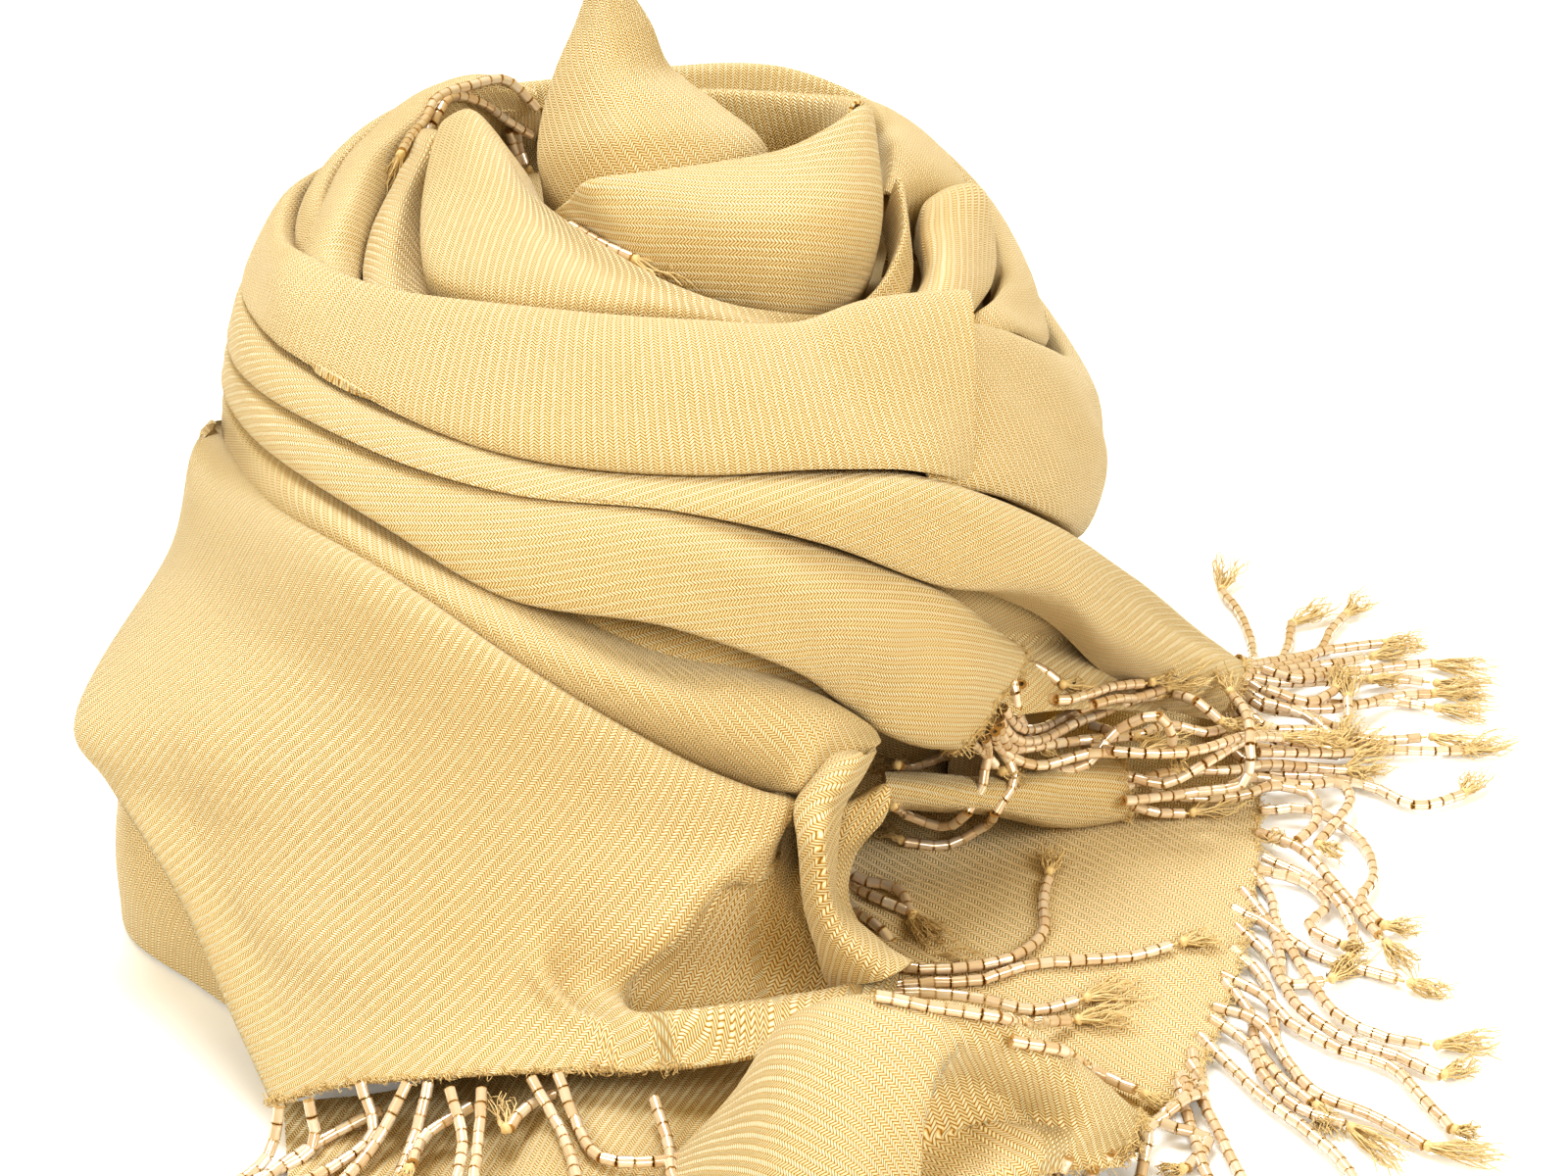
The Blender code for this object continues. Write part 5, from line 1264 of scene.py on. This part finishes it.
innerRing = {
    "sections": innerRingSections, "spacing": 1.4, "thickness": 0.8, "ribTurn": 25,
    "seed": 25, "swell": 0.3, "swellSize": 40,
    "nodes": ["inner_ring"], "restsOn": ["hidden_layers"],
}
makeCloth("innerRing", innerRing)

leftFoldOuterRows = table(
    "leftIn left crown right rightIn",
    ((-69, -31, 111.7), (-72.9, -35, 120.7), (-67.9, -42, 121.7), (-63.4, -38, 118.4), (-65.9, -33, 107.4)),
    ((-72, -21, 112.4), (-75.8, -25, 121.4), (-69.1, -32, 123.5), (-63.5, -28, 119.3), (-66, -23, 108.3)),
    ((-71, -11, 115), (-74.7, -15, 124), (-67.7, -22, 127.2), (-62.8, -18, 121.6), (-65.3, -13, 110.6)),
    ((-69.5, 4, 117.4), (-73, 0, 126.4), (-66, -7, 129.4), (-61.4, -3, 123.5), (-63.9, 2, 112.5)),
    ((-67.5, 18, 119.4), (-71, 14, 128.4), (-63.7, 7, 131.5), (-59.2, 11, 125.2), (-61.7, 16, 114.2)),
    ((-63.7, 31, 121.2), (-67.2, 27, 130.2), (-59.9, 20, 132.6), (-55.7, 24, 126.9), (-58.2, 29, 115.9)),
    ((-59.7, 43, 122.2), (-63.2, 39, 131.2), (-56, 32, 132.7), (-52, 36, 127.4), (-54.5, 41, 116.4)),
    ((-52.3, 54, 123.2), (-55.8, 50, 132.2), (-50.7, 43, 132.7), (-47.2, 47, 126.4), (-49.7, 52, 115.4)),
    ((-41.7, 62, 123.4), (-45.2, 58, 132.4), (-42.4, 51, 131.9), (-40.2, 55, 126), (-42.7, 60, 115)),
    ((-29.6, 66, 119.6), (-33.1, 62, 127.6), (-32, 57, 127.6), (-31.5, 59, 121.8), (-34, 64, 112.8)),
)
leftFoldOuter = {
    "sections": leftFoldOuterRows, "spacing": 1.4, "thickness": 0.8, "ribTurn": -20,
    "seed": 26, "swell": 0.35, "swellSize": 35,
    "fringe": topFringe,
    "nodes": ["left_fold_outer"], "restsOn": ["hidden_layers"],
}
makeCloth("leftFoldOuter", leftFoldOuter)

leftFoldInnerRows = table(
    "leftIn left crown right rightIn",
    ((-58.1, -35, 109.8), (-61.6, -39, 118.8), (-54.7, -46, 119.9), (-47.7, -42, 117), (-50.2, -37, 106)),
    ((-59.5, -26, 111.1), (-63, -30, 120.1), (-56, -37, 122.9), (-48.9, -33, 117.5), (-51.4, -28, 106.5)),
    ((-59.1, -17, 113.7), (-62.6, -21, 122.7), (-56, -28, 126.2), (-50, -24, 120.6), (-52.5, -19, 109.6)),
    ((-57.5, -6, 116.4), (-61, -10, 125.4), (-55.3, -17, 129), (-51.4, -13, 123), (-53.9, -8, 112)),
    ((-55.6, 5, 118.6), (-59.1, 1, 127.6), (-54.3, -6, 130.3), (-51.5, -2, 125.6), (-54, 3, 114.6)),
    ((-53.9, 16, 120.8), (-57.4, 12, 129.8), (-53, 5, 131.3), (-50.3, 9, 128.1), (-52.8, 14, 117.1)),
    ((-52, 28, 121.8), (-55.5, 24, 130.8), (-51.3, 17, 132.1), (-48.8, 21, 128.4), (-51.3, 26, 117.4)),
    ((-48.7, 37, 117.7), (-51.2, 33, 126.7), (-48, 28, 127.5), (-45.5, 32, 123.4), (-48, 37, 112.4)),
)
leftFoldInner = {
    "sections": leftFoldInnerRows, "spacing": 1.2, "thickness": 0.8, "ribTurn": 35,
    "seed": 27, "swell": 0.3, "swellSize": 30,
    "nodes": ["left_fold_inner"], "restsOn": ["hidden_layers"],
}
makeCloth("leftFoldInner", leftFoldInner)

ringFoldRows = table(
    "under left crown right foot",
    ((53, -14, 119), (54, -17, 124), (57, -12, 125), (64, -1, 118), (60, -2, 112.4)),
    ((53, -18, 119), (54.5, -20, 129), (57, -16, 129.5), (66.5, -3, 121), (62, -4, 112.4)),
    ((54, -24, 118), (54.5, -27, 126), (58, -25, 126.5), (69, -9, 115), (65, -10, 112.4)),
    ((54, -33, 116), (55.5, -36, 121), (58, -35, 123), (68.5, -20, 112.5), (65, -20, 112.5)),
    ((50, -44, 114), (52.5, -45.5, 118), (56, -46, 119.5), (64, -34, 112.4), (61, -33, 112.4)),
    ((45, -51, 112.4), (47.5, -53, 116.5), (53, -54, 117.5), (58, -49, 112.4), (56, -46, 112.4)),
)
ringFold = {
    "sections": ringFoldRows, "spacing": 1.1, "thickness": 0.8, "ribTurn": 85,
    "seed": 28, "swell": 0.3, "swellSize": 30,
    "nodes": ["ring_fold"], "restsOn": ["hidden_layers"],
}
makeCloth("ringFold", ringFold)

leftPetalRows = table(
    "behind top middle low under",
    ((-41, 5, 131), (-44, 6, 138), (-47, -4, 134), (-48, -24, 126), (-45, -22, 112.4)),
    ((-44, 1, 135), (-47, 0, 141.5), (-50, -22, 134), (-48, -48, 124.5), (-45, -44, 112.4)),
    ((-38, -5, 140), (-41, -8, 146.5), (-42, -30, 135.5), (-38, -56.5, 124), (-35, -52, 112.4)),
    ((-30, -13, 135), (-34, -15, 141.5), (-30, -42, 134), (-25, -62, 123.5), (-23, -57.5, 112.4)),
    ((-23, -29, 130), (-27, -30, 136.5), (-16, -53, 130), (-10, -65.2, 123.5), (-9, -61, 112.4)),
    ((-12, -44, 127), (-15, -46, 132.5), (-4, -60, 128), (4, -66.5, 122.5), (3.5, -62, 112.4)),
    ((2, -55, 121), (1, -58, 126.5), (9, -63.5, 125), (17, -65.5, 119.5), (15.5, -61.5, 112.4)),
    ((20, -55.5, 117), (19, -58.5, 121.5), (25, -61, 119.5), (30, -61, 116.5), (28, -58, 112.4)),
    ((36, -49.5, 115), (37, -52.5, 119), (40, -54, 117.5), (41, -54, 115.5), (39, -52, 112.4)),
    ((43, -41, 117), (45, -44, 122.5), (48, -45, 120), (48.5, -45, 116.5), (46, -43, 112.4)),
    ((46.5, -33, 121), (49, -36, 129), (51, -36.5, 124), (51, -36.5, 117), (48.5, -35, 112.4)),
    ((45.5, -23, 126), (48, -26, 136.5), (50.5, -25.5, 130), (50.5, -25, 119), (48, -24, 112.4)),
)
leftPetal = {
    "sections": leftPetalRows, "spacing": 1.2, "thickness": 0.8, "ribTurn": -4,
    "seed": 29, "swell": 0.35, "swellSize": 40,
    "nodes": ["left_petal"], "restsOn": ["hidden_layers"],
}
makeCloth("leftPetal", leftPetal)

frontPetalRows = table(
    "behind top middle low under",
    ((-21.5, -24, 122), (-24.5, -27, 128.5), (-25, -30, 128), (-22.5, -32, 124), (-20, -30, 112.4)),
    ((-17, -29, 126), (-19, -32, 134), (-19, -34, 133), (-17, -36, 129), (-15, -34, 112.4)),
    ((-13, -32, 133), (-15, -36, 140), (-13, -41, 138), (-8, -46.5, 130), (-7, -43, 112.4)),
    ((-2, -32, 136), (-3, -37, 143), (2, -48.5, 139), (3, -52, 127), (3, -48, 112.4)),
    ((11, -31, 138), (11, -36, 145), (14, -52, 139), (15, -54.5, 125), (14, -51, 112.4)),
    ((24, -28, 140), (25, -33, 147), (27, -52, 139), (27, -54, 121), (26, -50.5, 112.4)),
    ((32, -24, 143), (35, -28, 150), (38, -45, 138), (38, -47.5, 121), (36, -44, 112.4)),
    ((37, -18, 144), (41, -20, 151), (45, -33, 137), (43.5, -38.5, 122), (41, -36, 112.4)),
    ((38.5, -12, 141), (42.5, -12, 148), (44.5, -22, 134), (43.5, -28, 122), (41, -26, 112.4)),
    ((37, -7, 137), (40, -5, 144), (41.5, -12, 132), (41, -17, 120), (38.5, -16, 112.4)),
)
frontPetal = {
    "sections": frontPetalRows, "spacing": 1.2, "thickness": 0.8, "ribTurn": -78,
    "seed": 30, "swell": 0.35, "swellSize": 35,
    "nodes": ["front_petal"], "restsOn": ["hidden_layers"],
}
makeCloth("frontPetal", frontPetal)

innerPetalRows = table(
    "under low top behind",
    ((1, 13, 112.4), (0, 14, 130), (0, 18, 141.5), (1, 21, 136)),
    ((12, 17, 112.4), (12, 19, 128), (12, 24, 139.5), (13, 27, 134)),
    ((24, 18, 112.4), (24, 20, 127), (24, 25, 138.5), (26, 28, 133)),
    ((33, 13, 112.4), (34, 14, 128), (36, 17, 140), (39, 20, 134)),
    ((37, 3, 112.4), (38, 4, 130), (41, 5, 143), (44, 7, 137)),
)
innerPetal = {
    "sections": innerPetalRows, "spacing": 1.3, "thickness": 0.8, "ribTurn": 15,
    "seed": 31, "swell": 0.3, "swellSize": 30,
    "nodes": ["inner_petal"], "restsOn": ["hidden_layers"],
}
makeCloth("innerPetal", innerPetal)

tipPetalRows = table(
    "backLeft left front right backRight",
    ((-16, 10, 112.4), (-26, -14, 112.4), (-7, -29, 112.4), (22, -13, 112.4), (12, 8, 112.4)),
    ((-17, 8, 131), (-26, -16, 131), (-7, -31, 133), (24, -14, 133), (14, 6, 132)),
    ((-18, 7, 139), (-27, -13, 138), (-9, -27, 145), (20, -10, 141), (11, 6, 139)),
    ((-18, 6, 148), (-26, -9, 146), (-10, -21, 152), (11, -6, 147), (4, 6, 147)),
    ((-17, 5, 156), (-23, -6, 155), (-12, -14.5, 158.5), (1, -3, 154), (-3, 5, 155)),
    ((-15, 4, 164), (-19, -3, 163), (-12, -9, 165.5), (-3, -1, 163), (-7, 4, 163)),
    ((-13, 3, 171), (-16, -1, 171), (-12, -4.5, 172.5), (-8, 0, 171), (-10, 3, 171)),
)
tipPetal = {
    "sections": tipPetalRows, "spacing": 1.2, "thickness": 0.8, "ribTurn": 66,
    "seed": 32, "swell": 0.35, "swellSize": 40,
    "nodes": ["tip_petal"], "restsOn": ["hidden_layers"],
}
makeCloth("tipPetal", tipPetal)
print("cloth made")

# the layers hidden inside the heap, as far as they show between the others
hiddenRows = table(
    "turn foot base low waist middle high shoulder brow top",
    (-180, 84, 86, 86, 83, 81, 79, 76, 66, 60),
    (-150, 84, 86, 87, 83, 81, 79, 76, 66, 60),
    (-120, 88, 90, 90, 87, 82, 80, 77, 66, 60),
    (-92, 96, 99, 97, 92, 87, 82, 78, 66, 60),
    (-65, 112, 115, 114, 106, 90, 86, 80, 66, 60),
    (-46, 138, 141, 138, 125, 102, 88, 81, 66, 60),
    (-30, 147, 150, 146, 130, 110, 92, 83, 66, 60),
    (-14, 140, 143, 141, 126, 102, 90, 83, 66, 60),
    (2, 125, 128, 124, 108, 89, 87, 82, 66, 60),
    (16, 86, 88, 86, 86, 85, 84, 81, 66, 60),
    (40, 82, 84, 84, 84, 83, 82, 77, 66, 60),
    (70, 80, 82, 82, 81, 80, 78, 71, 66, 60),
    (100, 80, 82, 82, 81, 80, 76, 70, 66, 60),
    (140, 82, 84, 84, 82, 81, 78, 73, 66, 60),
)
hiddenLayers = {
    "heights": (0.3, 3.0, 20.0, 40.0, 60.0, 80.0, 96.0, 106.0, 111.6), "around": 240, "levels": 90,
    "evened": 12, "inset": 0.4, "folds": 13, "foldsOver": 112, "foldTilt": 0.8, "foldDepth": 1.2,
    "foldStart": 8, "topFolds": 3.2, "topDepth": 1.6, "topLevels": 48, "meanRadius": 80,
}


def makeHidden(look):
    # a closed turned form: its radius comes from the turn and the height, less
    # foldDepth * (1 + sin(folds * height)) / 2; across its top the folds wind inwards as a spiral
    turns = np.array([row.turn for row in hiddenRows] + [180.0])
    places = np.linspace(-180, 180, look["around"], endpoint=False)
    angles = np.radians(places)
    rings = []
    for column, height in enumerate(look["heights"], start=1):
        radii = np.array([row[column] for row in hiddenRows])
        radii = np.interp(places, turns, np.append(radii, radii[0]))
        for _ in range(look["evened"]):
            radii = (np.roll(radii, 1) + 2 * radii + np.roll(radii, -1)) / 4
        rings.append(np.stack([radii, np.full(len(places), height)], axis=1))
    rings = smoothRun(np.array(rings), look["levels"])
    radii, heights = rings[..., 0], rings[..., 1]
    wave = 2 * np.pi * look["folds"] * (heights / look["foldsOver"]) + look["foldTilt"] * np.sin(angles)
    fold = 0.5 + 0.5 * np.sin(wave)
    radii = radii - look["inset"] - look["foldDepth"] * fold * np.clip(heights / look["foldStart"], 0, 1)
    shares = np.linspace(1, 0, look["topLevels"] + 2)[1:-1, None]
    swirl = 0.5 + 0.5 * np.sin(2 * np.pi * look["topFolds"] * (1 - shares) + angles)
    topHeights = look["heights"][-1] - look["topDepth"] * swirl * (1 - shares**8)
    radii = np.concatenate([radii, shares * radii[-1]])
    heights = np.concatenate([heights, topHeights])
    levels = np.stack(around(places, radii, heights), axis=-1)
    poles = np.array([[0, 0, look["heights"][0]], [0, 0, topHeights[-1].mean()]])
    index = np.arange(heights.size).reshape(heights.shape)
    faces = ringFaces(index).tolist() + poleFaces(index, heights.size, heights.size + 1).tolist()
    run = np.cumsum(np.linalg.norm(np.diff(levels, axis=0), axis=2).mean(axis=1))
    run = np.concatenate([[0.0], run])[:, None]
    flat = np.stack([look["meanRadius"] * angles + 0 * run, run + 0 * angles], axis=-1).reshape(-1, 2)
    flat = np.concatenate([flat, [[0, 0], [0, run[-1, 0]]]])
    points = np.concatenate([levels.reshape(-1, 3), poles])
    standFor(meshPiece("hiddenLayers", points, faces, goldTwill, flat), ["hidden_layers"])


makeHidden(hiddenLayers)
print("hidden layers made")


studio = {
    "target": (0.025, 0.0, 0.029), "distance": 0.75, "elevation": 27.0, "lens": 75.0,
    "world": 0.32, "worldColour": (1.0, 0.68, 0.14), "backdrop": (3.2, 3.2, 3.2),
    "lampColour": (0.88, 0.96, 1.06), "floorHalf": 1.0, "floorGlow": 0.12,
    "floor": {"Base Color": (0.93, 0.93, 0.93), "Roughness": 0.9, "Emission Color": (0.9, 0.95, 1.0)},
}
scene = bpy.context.scene
scene.view_settings.view_transform = "Standard"
scene.view_settings.look = "Very High Contrast"


def cameraShare(tree):
    # 1 for what the camera sees itself, 0 for the light that things get
    return tree.nodes.new("ShaderNodeLightPath").outputs["Is Camera Ray"]


square = np.array([(-1, -1, 0), (1, -1, 0), (1, 1, 0), (-1, 1, 0)]) * studio["floorHalf"] / mm
paper, tree, shader = newMaterial("paperWhite", studio["floor"])
glow = mathNode(tree, "MULTIPLY", cameraShare(tree), studio["floorGlow"])
tree.links.new(glow, shader.inputs["Emission Strength"])
meshPiece("floor", square, [(0, 1, 2, 3)], paper)

world = bpy.data.worlds.new("studio")
scene.world = world
world.use_nodes = True
background = world.node_tree.nodes["Background"]
backdrop = blendColours(
    world.node_tree, cameraShare(world.node_tree), studio["worldColour"], studio["backdrop"]
)
world.node_tree.links.new(backdrop, background.inputs["Color"])
background.inputs["Strength"].default_value = studio["world"]

lamps = table(
    "name x y z aimX aimY aimZ size power",
    ("topBack", -0.25, 0.55, 1.5, 0.0, 0.0, 0.05, 0.8, 13.0),
    ("leftFront", -1.0, -0.9, 1.0, 0.0, 0.0, 0.08, 0.7, 5.6),
    ("rightFront", 1.1, -0.8, 0.9, 0.0, 0.0, 0.06, 0.8, 6.9),
    ("front", 0.2, -1.7, 0.8, 0.0, 0.0, 0.08, 0.8, 3.8),
)
for row in lamps:
    lamp = bpy.data.lights.new(row.name, "AREA")
    lamp.shape = "DISK"
    lamp.size = row.size
    lamp.energy = row.power
    lamp.color = studio["lampColour"]
    holder = bpy.data.objects.new(row.name, lamp)
    aim = np.array([row.aimX - row.x, row.aimY - row.y, row.aimZ - row.z])
    holder.location = (row.x, row.y, row.z)
    level = math.hypot(aim[0], aim[1])
    holder.rotation_euler = (math.atan2(level, -aim[2]), 0.0, math.atan2(-aim[0], aim[1]))
    scene.collection.objects.link(holder)

camera = bpy.data.cameras.new("camera")
camera.lens = studio["lens"]
camera.sensor_width = 36.0
camera.clip_start = 0.01
viewer = bpy.data.objects.new("camera", camera)
tilt = math.radians(studio["elevation"])
viewer.location = (
    studio["target"][0],
    studio["target"][1] - studio["distance"] * math.cos(tilt),
    studio["target"][2] + studio["distance"] * math.sin(tilt),
)
viewer.rotation_euler = (math.pi / 2 - tilt, 0.0, 0.0)
scene.collection.objects.link(viewer)
scene.camera = viewer
print("stage set")
